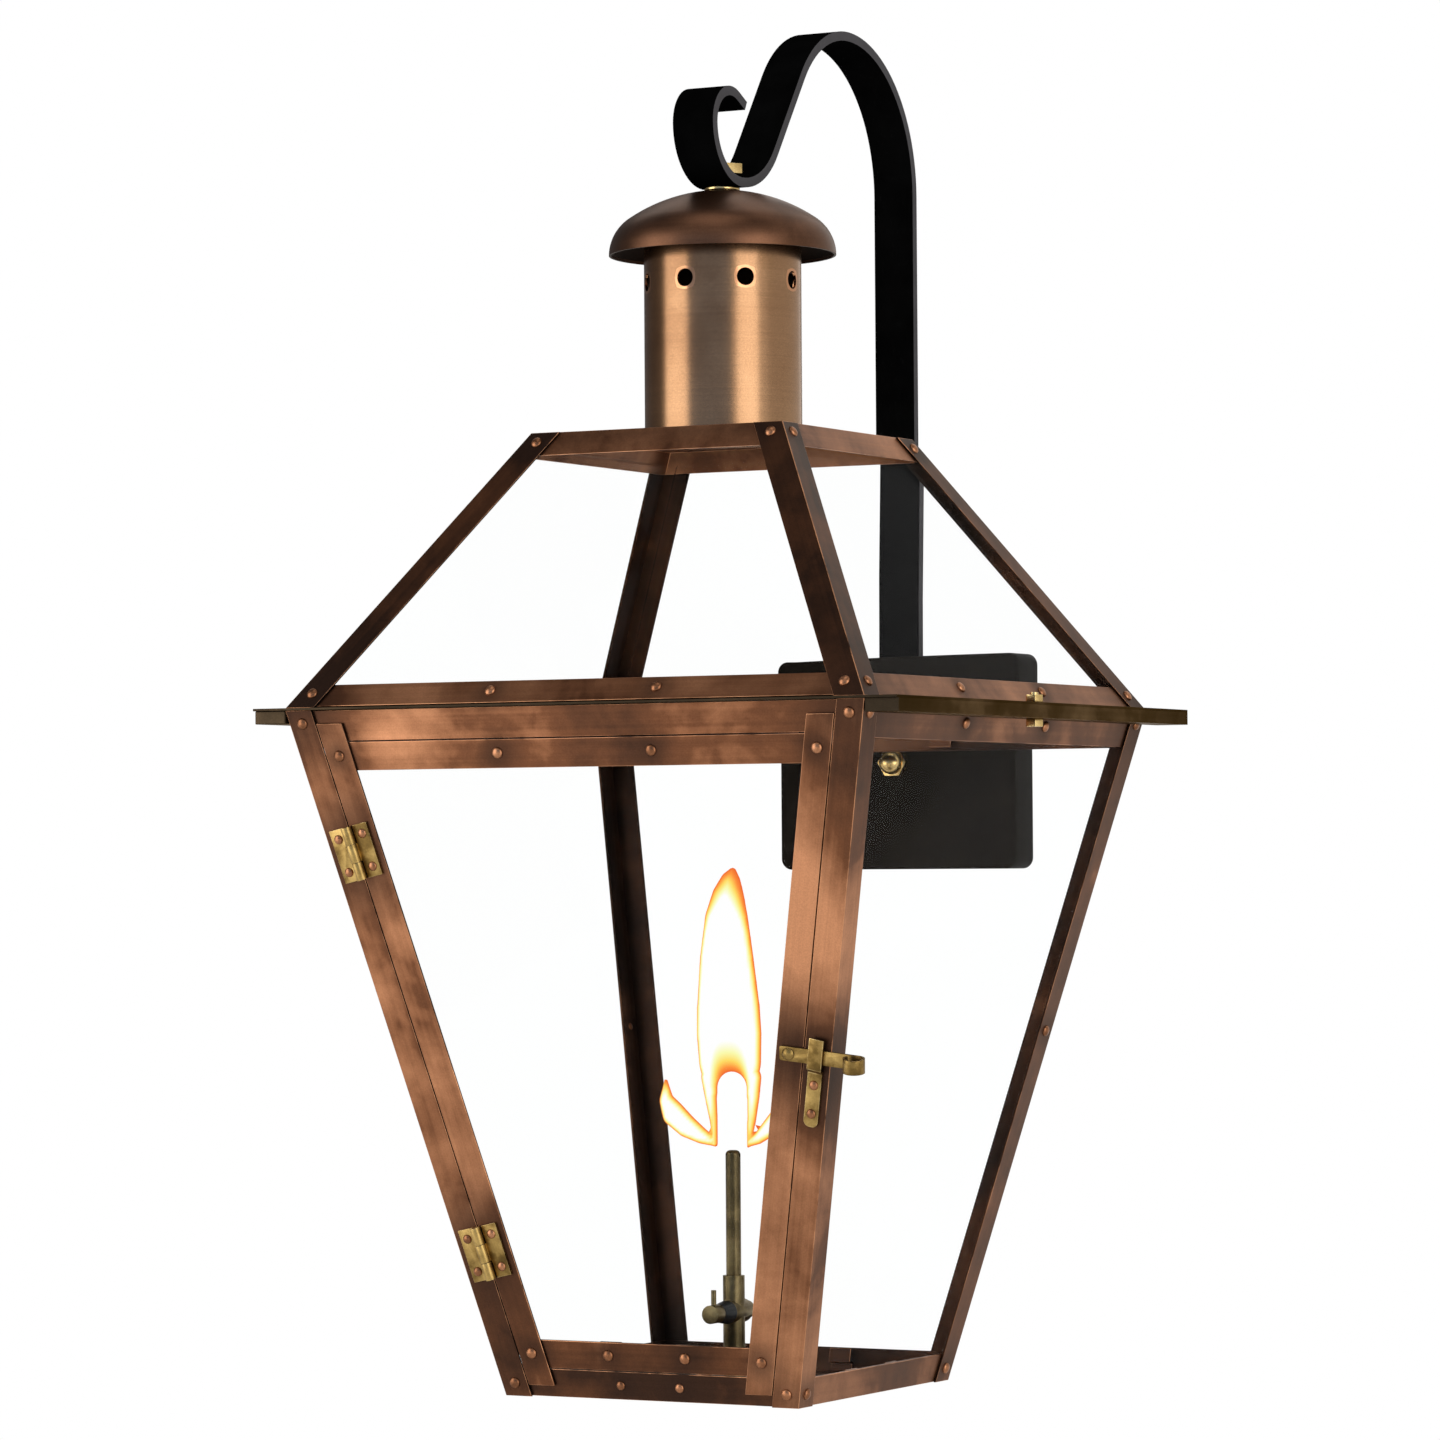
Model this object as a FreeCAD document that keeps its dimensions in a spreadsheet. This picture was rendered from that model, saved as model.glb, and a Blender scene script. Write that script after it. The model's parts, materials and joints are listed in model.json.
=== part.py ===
# Gas wall lantern: a tapered copper frame with a hinged glass door, a glazed
# pyramid roof under a vented chimney, and a flat-bar gooseneck on a wall plate.
# Millimetres, +Z up. The origin is the middle of the wall plate's back face, the
# wall is the plane Y = 0 and the lantern stands out towards -Y.
# Each lantern piece is drawn about the lantern's own upright axis, with its bottom
# edge at zero height, and its Placement carries it out from the wall.

import FreeCAD
import Part
import Sketcher

import math
import os

doc = FreeCAD.newDocument("GasWallLantern")

# Driving sizes: alias, millimetres (or a count, a share or degrees), what it measures
driving = [
    ("reach", 213.0, "wall to the lantern's axis"),
    ("drop", 317.0, "bottom edge to the wall plate's middle"),
    ("base_half", 82.0, "half width at the bottom edge"),
    ("eave_half", 160.0, "half width at the eave"),
    ("crown_half", 71.0, "half width at the top of the roof"),
    ("eave_height", 340.0, "bottom edge to the eave plate"),
    ("crown_height", 479.0, "bottom edge to the top of the roof"),
    ("copper", 1.2, "thickness of the copper sheet"),
    ("strip", 14.3, "width of every frame strip"),
    ("front_header", 16.0, "height of the strip above the door"),
    ("side_header", 19.0, "height of the other top strips"),
    ("door_gap", 0.6, "gap round the door"),
    ("set_back", 0.3, "strips behind the door stiles stand back by this"),
    ("stile_top_gap", 7.0, "eave down to the top of a door stile"),
    ("stile_low_gap", 6.0, "bottom edge up to a door stile"),
    ("pane", 3.0, "thickness of the glass"),
    ("lap", 7.0, "glass behind a strip"),
    ("eave_side", 17.8, "eave plate past the body at the sides"),
    ("eave_front", 2.0, "eave plate past the body in front"),
    ("eave_rear", 13.0, "eave plate and rails past the body behind"),
    ("rail_height", 6.5, "thickness of a side rail"),
    ("rail_hole", 2.1, "radius of the rail bolt's hole"),
    ("rail_bolt_back", 6.0, "rail bolt behind the lantern's axis"),
    ("rail_nut", 8.0, "rail nut across its flats"),
    ("tube_radius", 39.8, "outside radius of the chimney"),
    ("tube_top", 584.0, "bottom edge to the top of the chimney tube"),
    ("tube_flange", 9.0, "width of the chimney's foot flange"),
    ("vent_radius", 4.5, "radius of a vent hole"),
    ("vent_height", 556.0, "bottom edge to the ring of vents"),
    ("vent_count", 8, "vents round the chimney"),
    ("cap_radius", 57.5, "radius of the cap's rim"),
    ("cap_rim", 570.5, "bottom edge to the cap's rim"),
    ("cap_rise", 33.0, "height of the cap"),
    ("cap_shoulder", 22.0, "radius of the cap's rounded side"),
    ("bolt_radius", 3.0, "radius of the hanger bolt"),
    ("bolt_play", 0.3, "clearance round a bolt"),
    ("nut_flats", 11.0, "hanger nut across its flats"),
    ("nut_height", 5.0, "height of a hanger nut"),
    ("scroll_nut", 20.0, "nut in the scroll across its flats"),
    ("washer_radius", 9.0, "radius of the hanger washer"),
    ("washer_thick", 1.2, "thickness of the hanger washer"),
    ("bridge_width", 16.0, "width of the strap inside the chimney"),
    ("bridge_thick", 2.0, "thickness of that strap"),
    ("bridge_drop", 10.0, "chimney's top down to that strap"),
    ("bridge_leg", 14.0, "length of its turned-down ends"),
    ("arm_width", 23.0, "width of the gooseneck's flat bar"),
    ("arm_thick", 4.8, "thickness of the flat bar"),
    ("arm_top", 698.5, "bottom edge to the top of the gooseneck"),
    ("arm_rear_share", 0.389, "bend above the wall plate, as a share of the bar's reach"),
    ("arm_front_share", 0.3276, "bend above the chimney, as a share of the bar's reach"),
    ("scroll_sweep_share", 0.2303, "bend where the bar turns under, as a share of its reach"),
    ("scroll_belly", 28.0, "radius of the scroll's belly"),
    ("scroll_top", 17.0, "radius of the scroll's top"),
    ("scroll_turn", 27.0, "degrees that the scroll turns down"),
    ("scroll_tip", 9.0, "straight end of the scroll"),
    ("arm_foot", 24.0, "gooseneck inside the wall plate"),
    ("plate_width", 139.7, "width of the wall plate"),
    ("plate_height", 114.3, "height of the wall plate"),
    ("plate_depth", 22.0, "depth of the wall plate"),
    ("plate_wall", 2.0, "thickness of the wall plate's steel"),
    ("plate_corner", 6.0, "corner radius of the wall plate"),
    ("plate_edge", 1.6, "rounding of the wall plate's front edge"),
    ("stud_radius", 4.0, "radius of the thread in the acorn nut"),
    ("stud_play", 0.5, "clearance of the wall plate's hole"),
    ("acorn_flats", 14.5, "acorn nut across its flats"),
    ("acorn_base", 6.0, "height of the acorn nut's hexagon"),
    ("acorn_dome", 6.6, "radius of the acorn nut's dome"),
    ("acorn_depth", 10.0, "depth of the thread in the acorn nut"),
    ("bar_width", 100.0, "width of the bar on the wall"),
    ("bar_height", 22.0, "height of the bar on the wall"),
    ("bar_thick", 3.0, "thickness of the bar on the wall"),
    ("bar_spacing", 69.85, "between the bar's screw holes"),
    ("bar_hole", 2.6, "radius of the bar's screw holes"),
    ("floor_lift", 1.0, "bottom edge up to the floor plate"),
    ("floor_vent_circle", 48.0, "radius of the floor's ring of air holes"),
    ("hinge_length", 27.0, "length of a hinge"),
    ("hinge_mid", 9.0, "length of a hinge's middle knuckle"),
    ("hinge_leaf", 11.2, "hinge axis to the edge of a leaf"),
    ("hinge_thick", 1.2, "thickness of a hinge leaf"),
    ("hinge_knuckle", 2.6, "radius of a hinge knuckle"),
    ("hinge_pin", 1.3, "radius of a hinge pin"),
    ("hinge_play", 0.3, "gap between hinge pieces that pass"),
    ("running", 0.06, "radial clearance of what turns on a pin"),
    ("upper_hinge_height", 270.0, "bottom edge to the upper hinge"),
    ("lower_hinge_height", 72.0, "bottom edge to the lower hinge"),
    ("latch_height", 173.0, "bottom edge to the latch's pivot"),
    ("latch_width", 7.0, "width of the latch lever"),
    ("latch_thick", 1.2, "thickness of the latch lever"),
    ("latch_tail", 4.5, "lever behind its pivot"),
    ("latch_reach", 37.0, "pivot to the lever's curl"),
    ("latch_curl", 4.1, "inside radius of the lever's curl"),
    ("latch_droop", 6.5, "degrees that the lever points down"),
    ("latch_lift", 0.25, "lever clear of the stile"),
    ("latch_pivot", 1.6, "radius of the latch's pivot"),
    ("latch_head", 3.2, "radius of the pivot's head"),
    ("keeper_width", 7.5, "width of the keeper"),
    ("keeper_below", 35.0, "keeper below the lever"),
    ("keeper_above", 9.5, "keeper above the lever"),
    ("keeper_slot", 1.9, "room behind the keeper's tongue"),
    ("stop_foot", 5.0, "seat of a door stop on its post"),
    ("stop_thick", 1.0, "thickness of a door stop"),
    ("burner_back", 5.0, "burner behind the lantern's axis"),
    ("burner_tip", 119.0, "bottom edge to the burner's tip"),
    ("burner_radius", 3.8, "radius of the burner tube"),
    ("burner_bore", 2.4, "radius of the burner tube's bore"),
    ("burner_seat", 9.0, "burner tube inside the cock"),
    ("cock_radius", 5.5, "radius of the gas cock's body"),
    ("cock_top", 56.0, "bottom edge to the top of the gas cock"),
    ("cock_axis", 38.0, "bottom edge to the plug's axis"),
    ("cock_foot", 10.0, "radius of the gas cock's foot"),
    ("inlet_outer", 6.5, "outside radius of the gas inlet"),
    ("inlet_radius", 4.3, "radius of the gas inlet's thread"),
    ("inlet_depth", 10.0, "depth of the gas inlet's thread"),
    ("inlet_low", 7.0, "gas inlet below the bottom edge"),
    ("passage", 1.5, "radius of the gas way"),
    ("barrel_radius", 6.0, "radius of the barrel round the plug"),
    ("barrel_front", 7.5, "burner's axis to the barrel's front"),
    ("barrel_back", 9.0, "burner's axis to the barrel's back"),
    ("plug_radius", 3.4, "radius of the plug"),
    ("plug_head", 4.6, "radius of the plug's ends"),
    ("gland_length", 9.5, "length of the black gland"),
    ("knob_length", 8.0, "length of the plug's knob"),
    ("pin_radius", 1.3, "radius of the plug's pin"),
    ("pin_height", 12.0, "plug's axis to the end of its pin"),
    ("clip_thick", 0.8, "thickness of a glass clip"),
    ("clip_width", 12.0, "width of a glass clip"),
    ("clip_foot", 5.0, "clip on the strip"),
    ("clip_lip", 6.0, "clip on the glass"),
    ("clip_gap", 0.4, "clip clear of the glass edge"),
    ("eave_clip", 46.0, "clips beside the middle, at the eave"),
    ("door_clip", 42.5, "clips beside the middle, top of the door"),
    ("low_clip", 21.5, "clips beside the middle, at the bottom"),
]

dims = doc.addObject("Spreadsheet::Sheet", "Dims")
for row, (alias, value, note) in enumerate(driving, start=1):
    dims.set(f"A{row}", note)
    dims.set(f"B{row}", str(value))
    dims.setAlias(f"B{row}", alias)
worked = doc.addObject("Spreadsheet::Sheet", "Worked")
doc.recompute()


class Size:
    # A number together with the expression that gives it in the document

    def __init__(self, number, text):
        self.number = float(number)
        self.text = text

    def __add__(self, other):
        other = asSize(other)
        return Size(self.number + other.number, f"({self.text} + {other.text})")

    def __sub__(self, other):
        other = asSize(other)
        return Size(self.number - other.number, f"({self.text} - {other.text})")

    def __mul__(self, other):
        other = asSize(other)
        return Size(self.number * other.number, f"({self.text} * {other.text})")

    def __truediv__(self, other):
        other = asSize(other)
        return Size(self.number / other.number, f"({self.text} / {other.text})")

    def __neg__(self):
        return Size(-self.number, f"(0 - {self.text})")

    def __radd__(self, other):
        return asSize(other) + self

    def __rsub__(self, other):
        return asSize(other) - self

    def __rmul__(self, other):
        return asSize(other) * self


def asSize(value):
    if isinstance(value, Size):
        return value
    return Size(value, f"({value})")


def squareRoot(size):
    return Size(math.sqrt(size.number), f"sqrt({size.text})")


def leanAngle(size):
    return Size(math.degrees(math.atan(size.number)), f"atan({size.text})")


def size(alias):
    return Size(dims.get(alias), f"Dims.{alias}")


workedRows = []


def worksOut(alias, value):
    # Keeps a value that is worked out from the driving sizes under its own name
    workedRows.append(alias)
    cell = f"B{len(workedRows)}"
    worked.set(f"A{len(workedRows)}", alias)
    worked.set(cell, f"={value.text}")
    worked.setAlias(cell, alias)
    return Size(value.number, f"Worked.{alias}")


zero = asSize(0)
reach = size("reach")
drop = size("drop")
copper = size("copper")
strip = size("strip")
doorGap = size("door_gap")
setBack = size("set_back")
pane = size("pane")
lap = size("lap")
eaveHeight = size("eave_height")
eaveHalf = size("eave_half")
crownHeight = size("crown_height")
running = size("running")
boltRadius = size("bolt_radius")
boltHole = worksOut("bolt_hole", boltRadius + size("bolt_play"))
roofBase = worksOut("roof_base", eaveHeight + copper)


class Slope:
    # One flank of a square tapered frame. Places on it are given across (u, from the
    # middle) and up the slope (v); depth runs inwards, square to the sheet.

    def __init__(self, name, half, height, lean):
        self.half = half
        self.height = height
        self.lean = worksOut(f"{name}_lean", lean)
        self.secant = worksOut(f"{name}_secant", squareRoot(1 + self.lean * self.lean))
        self.rate = worksOut(f"{name}_rate", self.lean / self.secant)
        self.edge = worksOut(f"{name}_edge", squareRoot(1 + self.rate * self.rate))
        self.wall = worksOut(f"{name}_wall", copper * self.secant)
        self.leg = worksOut(f"{name}_leg", strip * self.edge)

    def across(self, v, inset):
        return self.half + self.rate * v - inset * self.edge

    def halfAt(self, height):
        return self.half + self.lean * (height - self.height)

    def lift(self, depth):
        # Distance up the slope that keeps an inner edge level with the slope's start
        return depth * self.lean


bodyLean = (eaveHalf - size("base_half")) / eaveHeight
roofLean = (size("crown_half") - eaveHalf) / (crownHeight - roofBase)
flank = Slope("flank", size("base_half"), zero, bodyLean)
roof = Slope("roof", eaveHalf, roofBase, roofLean)
flankTop = worksOut("flank_top", eaveHeight * flank.secant)
roofTop = worksOut("roof_top", (crownHeight - roofBase) * roof.secant)

sides = {"front": 0, "right": 90, "back": 180, "left": 270}
corners = {"front_left": 0, "front_right": 90, "back_right": 180, "back_left": 270}
upright = FreeCAD.Vector(0, 0, 1)
nodes = {}


def keep(node):
    nodes[node.Label] = node
    return node


def makeBody(label, turn=0, back=zero):
    body = doc.addObject("PartDesign::Body", label)
    body.Label = label
    body.Placement = FreeCAD.Placement(
        FreeCAD.Vector(0, back.number - reach.number, -drop.number),
        FreeCAD.Rotation(upright, turn),
    )
    body.setExpression("Placement.Base.y", (back - reach).text)
    body.setExpression("Placement.Base.z", (-drop).text)
    return keep(body)


def wallBody(label):
    body = doc.addObject("PartDesign::Body", label)
    body.Label = label
    return keep(body)


def originPart(body, role):
    return [part for part in body.Origin.OriginFeatures if part.Role == role][0]


def makeSketch(body, role, level=zero, shift=zero, tilt=None):
    # level is along the plane's normal and shift along its second axis
    sketch = body.newObject("Sketcher::SketchObject", f"{body.Name}Sketch")
    sketch.AttachmentSupport = [(originPart(body, role), "")]
    sketch.MapMode = "FlatFace"
    angle = tilt or zero
    sketch.AttachmentOffset = FreeCAD.Placement(
        FreeCAD.Vector(0, shift.number, level.number),
        FreeCAD.Rotation(FreeCAD.Vector(1, 0, 0), angle.number),
    )
    sketch.setExpression("AttachmentOffset.Base.y", shift.text)
    sketch.setExpression("AttachmentOffset.Base.z", level.text)
    if tilt:
        sketch.setExpression("AttachmentOffset.Rotation.Angle", tilt.text)
    return sketch


def pinPoint(sketch, geometry, point, x, y):
    for kind, value, axis in (("DistanceX", x, -2), ("DistanceY", y, -1)):
        if value is zero:
            sketch.addConstraint(Sketcher.Constraint("PointOnObject", geometry, point, axis))
        else:
            ahead = value.number >= 0
            ends = (-1, 1, geometry, point) if ahead else (geometry, point, -1, 1)
            size = value if ahead else -value
            place = sketch.addConstraint(Sketcher.Constraint(kind, *ends, size.number))
            sketch.setExpression(f"Constraints[{place}]", size.text)


def arcBetween(start, end, radius):
    # A positive radius turns left from start to end, and a negative one right
    chord = end - start
    half = chord.Length / 2
    rise = math.sqrt(max(radius * radius - half * half, 0))
    across = FreeCAD.Vector(-chord.y, chord.x, 0).normalize()
    turn = 1 if radius > 0 else -1
    centre = start + chord * 0.5 + across * rise * turn
    middle = centre - across * abs(radius) * turn
    return Part.Arc(start, middle, end)


def outline(sketch, points):
    # Each point is (x, y), or (x, y, radius) where an arc leads on to the next
    spots = [FreeCAD.Vector(point[0].number, point[1].number, 0) for point in points]
    edges = []
    for index, point in enumerate(points):
        start = spots[index]
        end = spots[(index + 1) % len(spots)]
        if len(point) == 2:
            line = Part.LineSegment(start, end)
        else:
            line = arcBetween(start, end, point[2].number)
        geometry = sketch.addGeometry(line, False)
        forward = sketch.getPoint(geometry, 1).distanceToPoint(start) < 1e-6
        edges.append((geometry, 1, 2) if forward else (geometry, 2, 1))
    for index, (geometry, first, last) in enumerate(edges):
        following = edges[(index + 1) % len(edges)]
        joint = Sketcher.Constraint("Coincident", geometry, last, following[0], following[1])
        sketch.addConstraint(joint)
    for point, (geometry, first, last) in zip(points, edges):
        pinPoint(sketch, geometry, first, point[0], point[1])
        if len(point) == 3:
            radius = point[2] if point[2].number > 0 else -point[2]
            place = sketch.addConstraint(Sketcher.Constraint("Radius", geometry, radius.number))
            sketch.setExpression(f"Constraints[{place}]", radius.text)
    return sketch


def circle(sketch, x, y, radius):
    centre = FreeCAD.Vector(x.number, y.number, 0)
    geometry = sketch.addGeometry(Part.Circle(centre, upright, radius.number), False)
    if x is zero and y is zero:
        sketch.addConstraint(Sketcher.Constraint("Coincident", geometry, 3, -1, 1))
    else:
        pinPoint(sketch, geometry, 3, x, y)
    place = sketch.addConstraint(Sketcher.Constraint("Radius", geometry, radius.number))
    sketch.setExpression(f"Constraints[{place}]", radius.text)
    return sketch


def rectangle(sketch, left, low, right, high):
    return outline(sketch, [(left, low), (right, low), (right, high), (left, high)])


def hexagon(sketch, flats):
    corner = flats / math.sqrt(3)
    half = flats * 0.5
    near = corner * 0.5
    points = [
        (corner, zero), (near, half), (-near, half),
        (-corner, zero), (-near, -half), (near, -half),
    ]
    return outline(sketch, points)


def roundedBox(sketch, halfWidth, halfHeight, radius):
    x = halfWidth - radius
    y = halfHeight - radius
    points = [
        (-x, -halfHeight), (x, -halfHeight, radius), (halfWidth, -y), (halfWidth, y, radius),
        (x, halfHeight), (-x, halfHeight, radius), (-halfWidth, y), (-halfWidth, -y, radius),
    ]
    return outline(sketch, points)


def pad(body, sketch, length):
    feature = body.newObject("PartDesign::Pad", f"{body.Name}Pad")
    feature.Profile = sketch
    feature.setExpression("Length", length.text)
    return feature


def slantedPad(body, sketch, length, lean):
    # A section that is carried up along the corner of a tapered frame
    feature = pad(body, sketch, length)
    feature.UseCustomVector = True
    feature.Direction = FreeCAD.Vector(-lean.number, -lean.number, 1)
    feature.setExpression("Direction.x", (-lean).text)
    feature.setExpression("Direction.y", (-lean).text)
    feature.AlongSketchNormal = True
    return feature


def pocket(body, sketch, length, forward=False):
    # Cuts against the sketch's normal, or along it when forward
    feature = body.newObject("PartDesign::Pocket", f"{body.Name}Pocket")
    feature.Profile = sketch
    feature.setExpression("Length", length.text)
    feature.Reversed = forward
    return feature


def revolve(body, sketch, axis="V_Axis"):
    feature = body.newObject("PartDesign::Revolution", f"{body.Name}Revolution")
    feature.Profile = sketch
    feature.ReferenceAxis = (sketch, [axis])
    feature.Angle = 360
    return feature


def ring(body, original, count):
    feature = body.newObject("PartDesign::PolarPattern", f"{body.Name}Ring")
    feature.Originals = [original]
    feature.Axis = (originPart(body, "Z_Axis"), [""])
    feature.Angle = 360
    feature.setExpression("Occurrences", count.text)
    body.Tip = feature
    return feature


def roundEdges(body, base, radius, chosen):
    doc.recompute()
    names = [f"Edge{n}" for n, edge in enumerate(base.Shape.Edges, start=1) if chosen(edge)]
    feature = body.newObject("PartDesign::Fillet", f"{body.Name}Fillet")
    feature.Base = (base, names)
    feature.setExpression("Radius", radius.text)
    return feature


def flatPiece(label, side, slope, depth, thick, points):
    # A flat strip or pane on one flank: depth is from the frame's outside to its front
    body = makeBody(label, sides[side])
    inner = depth + thick
    level = slope.half - inner / slope.secant
    shift = slope.height + inner * slope.rate
    sketch = makeSketch(body, "XZ_Plane", level, shift, leanAngle(slope.lean))
    pad(body, outline(sketch, points), thick)
    return body


def band(slope, low, high, inset):
    # An upright strip's outline from edge to edge, with ends along the corners
    a = slope.across(low, inset)
    b = slope.across(high, inset)
    return [(-a, low), (a, low), (b, high), (-b, high)]


def cornerPiece(label, corner, slope, length):
    # A strip folded along a corner, with one leg on each flank
    body = makeBody(label, corners[corner])
    out = -slope.half
    sketch = makeSketch(body, "XY_Plane", slope.height)
    points = [
        (out, out),
        (out + slope.leg, out),
        (out + slope.leg, out + slope.wall),
        (out + slope.wall, out + slope.wall),
        (out + slope.wall, out + slope.leg),
        (out, out + slope.leg),
    ]
    slantedPad(body, outline(sketch, points), length, slope.lean)
    return body


def slopePlacement(slope, side, u, v, out, turn=0):
    # Local x runs across, y up the slope and z outwards, turned about z by degrees
    tilt = math.atan(slope.lean.number)
    across = FreeCAD.Vector(1, 0, 0)
    up = FreeCAD.Vector(0, -math.sin(tilt), math.cos(tilt))
    outwards = across.cross(up)
    start = FreeCAD.Vector(u.number, -slope.half.number, slope.height.number)
    spot = start + up * v.number + outwards * out.number
    local = FreeCAD.Placement(spot, FreeCAD.Rotation(across, up, outwards, "ZXY"))
    spin = FreeCAD.Placement(FreeCAD.Vector(), FreeCAD.Rotation(upright, turn))
    swing = FreeCAD.Placement(FreeCAD.Vector(), FreeCAD.Rotation(upright, sides[side]))
    stand = FreeCAD.Placement(FreeCAD.Vector(0, -reach.number, -drop.number), FreeCAD.Rotation())
    return stand * swing * local * spin


def localBody(label):
    # A small fitting drawn about its own seat and placed when it is kept
    return doc.addObject("PartDesign::Body", label)


def keepGroup(label, shapes):
    feature = doc.addObject("Part::Feature", label)
    feature.Label = label
    feature.Shape = Part.makeCompound(shapes)
    return keep(feature)


def placed(shape, placement):
    copy = shape.copy()
    copy.Placement = placement
    return copy


# Tapered body: four folded posts, top strips and bottom strips
headerInset = copper * 2 + setBack
for corner in corners:
    cornerPiece(f"corner_post_{corner}", corner, flank, eaveHeight)
for side in sides:
    front = side == "front"
    depth = copper + setBack if front else copper
    height = size("front_header") if front else size("side_header")
    top = flankTop - flank.lift(depth + copper)
    points = band(flank, flankTop - height, top, headerInset)
    flatPiece(f"header_{side}", side, flank, depth, copper, points)
    points = band(flank, zero, strip, headerInset)
    flatPiece(f"bottom_band_{side}", side, flank, depth, copper, points)

# Glass of the three fixed flanks
glassDepth = copper * 2
paneInset = strip - lap
for side in ("right", "back", "left"):
    points = band(flank, strip - lap, flankTop - size("side_header") + lap, paneInset)
    flatPiece(f"body_glass_{side}", side, flank, glassDepth, pane, points)

# Floor with a hole for the gas cock and a ring of air holes
floorLift = size("floor_lift")
floorTop = worksOut("floor_top", floorLift + copper)
floorHalf = flank.halfAt(floorLift) - flank.wall * 2 - setBack * 2
floor = makeBody("floor_plate")
sketch = makeSketch(floor, "XY_Plane", floorLift)
rectangle(sketch, -floorHalf, -floorHalf, floorHalf, floorHalf)
circle(sketch, zero, size("burner_back"), size("inlet_outer") + size("bolt_play"))
pad(floor, sketch, copper)
sketch = makeSketch(floor, "XY_Plane", floorTop)
circle(sketch, size("floor_vent_circle"), zero, size("vent_radius"))
ring(floor, pocket(floor, sketch, copper), size("vent_count"))

# Door: two stiles over two rails, with its pane behind
stileOuter = strip + doorGap
stileInner = strip * 2 + doorGap
stileLow = size("stile_low_gap")
stileHigh = flankTop - size("stile_top_gap")
for name, hand in (("left", -1), ("right", 1)):
    points = [
        (flank.across(stileLow, stileOuter) * hand, stileLow),
        (flank.across(stileLow, stileInner) * hand, stileLow),
        (flank.across(stileHigh, stileInner) * hand, stileHigh),
        (flank.across(stileHigh, stileOuter) * hand, stileHigh),
    ]
    flatPiece(f"door_stile_{name}", "front", flank, zero, copper, points)
railInset = stileOuter + doorGap
railTop = worksOut("rail_top", flankTop - size("front_header") - doorGap)
railLow = worksOut("rail_low", strip + doorGap)
points = band(flank, railTop - strip, railTop, railInset)
flatPiece("door_top_rail", "front", flank, copper, copper, points)
points = band(flank, railLow, railLow + strip, railInset)
flatPiece("door_bottom_rail", "front", flank, copper, copper, points)
doorPaneLow = worksOut("door_pane_low", railLow + strip - lap)
doorPaneTop = worksOut("door_pane_top", railTop - strip + lap)
points = band(flank, doorPaneLow, doorPaneTop, stileInner - lap)
flatPiece("door_glass", "front", flank, glassDepth, pane, points)

# Eave plate between body and roof, on two flat side rails
eaveSide = worksOut("eave_outer", eaveHalf + size("eave_side"))
eaveRear = worksOut("eave_back", eaveHalf + size("eave_rear"))
eaveFront = worksOut("eave_fore", eaveHalf + size("eave_front"))
railInner = worksOut("rail_inner", eaveHalf + setBack)
railMiddle = worksOut("rail_middle", (eaveSide + railInner) * 0.5)
boltBack = size("rail_bolt_back")
railHole = size("rail_hole")
eave = makeBody("eave_plate")
sketch = makeSketch(eave, "XY_Plane", eaveHeight)
rectangle(sketch, -eaveSide, -eaveFront, eaveSide, eaveRear)
eaveOpening = eaveHalf - strip
rectangle(sketch, -eaveOpening, -eaveOpening, eaveOpening, eaveOpening)
for hand in (-1, 1):
    circle(sketch, railMiddle * hand, boltBack, railHole)
pad(eave, sketch, copper)
for name, hand in (("left", -1), ("right", 1)):
    rail = makeBody(f"side_rail_{name}")
    sketch = makeSketch(rail, "XY_Plane", eaveHeight - size("rail_height"))
    rectangle(sketch, railInner * hand, -eaveHalf, eaveSide * hand, eaveRear)
    circle(sketch, railMiddle * hand, boltBack, railHole)
    pad(rail, sketch, size("rail_height"))

# Rail bolts: a hexagon head under each rail, and a nut on the eave plate
railNut = size("rail_nut")
railNutHeight = worksOut("rail_nut_height", railNut * 0.5)
railBoltRadius = railHole - size("running")
bolt = localBody("RailBolt")
sketch = makeSketch(bolt, "XY_Plane", -railNutHeight)
pad(bolt, hexagon(sketch, railNut), railNutHeight)
sketch = makeSketch(bolt, "XY_Plane")
shank = size("rail_height") + copper + railNutHeight + copper
pad(bolt, circle(sketch, zero, zero, railBoltRadius), shank)
nut = localBody("RailNut")
sketch = makeSketch(nut, "XY_Plane", size("rail_height") + copper)
pad(nut, circle(hexagon(sketch, railNut), zero, zero, railHole), railNutHeight)
doc.recompute()
fasteners = []
for hand in (-1, 1):
    foot = eaveHeight - size("rail_height") - drop
    spot = FreeCAD.Vector(hand * railMiddle.number, (boltBack - reach).number, foot.number)
    place = FreeCAD.Placement(spot, FreeCAD.Rotation())
    fasteners += [placed(bolt.Shape, place), placed(nut.Shape, place)]
keepGroup("rail_fasteners", fasteners)

# Roof: four folded hips, four strips at the eave, four panes and the crown
roofLength = crownHeight - roofBase
bandLow = worksOut("roof_band_low", -roof.lift(copper * 2))
for corner in corners:
    cornerPiece(f"roof_hip_{corner}", corner, roof, roofLength)
for side in sides:
    points = band(roof, bandLow, strip, headerInset)
    flatPiece(f"roof_eave_band_{side}", side, roof, copper, copper, points)
    points = band(roof, strip - lap, roofTop - strip + lap, paneInset)
    flatPiece(f"roof_glass_{side}", side, roof, glassDepth, pane, points)

# Crown: one square sheet with its four edges folded down along the roof
crownLow = worksOut("crown_low", crownHeight - strip / roof.secant)
crownUnder = worksOut("crown_under", crownHeight - copper)
crown = makeBody("crown_plate")


def squareAt(body, height, inset):
    half = roof.halfAt(height) - roof.wall * inset
    return rectangle(makeSketch(body, "XY_Plane", height), -half, -half, half, half)


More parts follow.
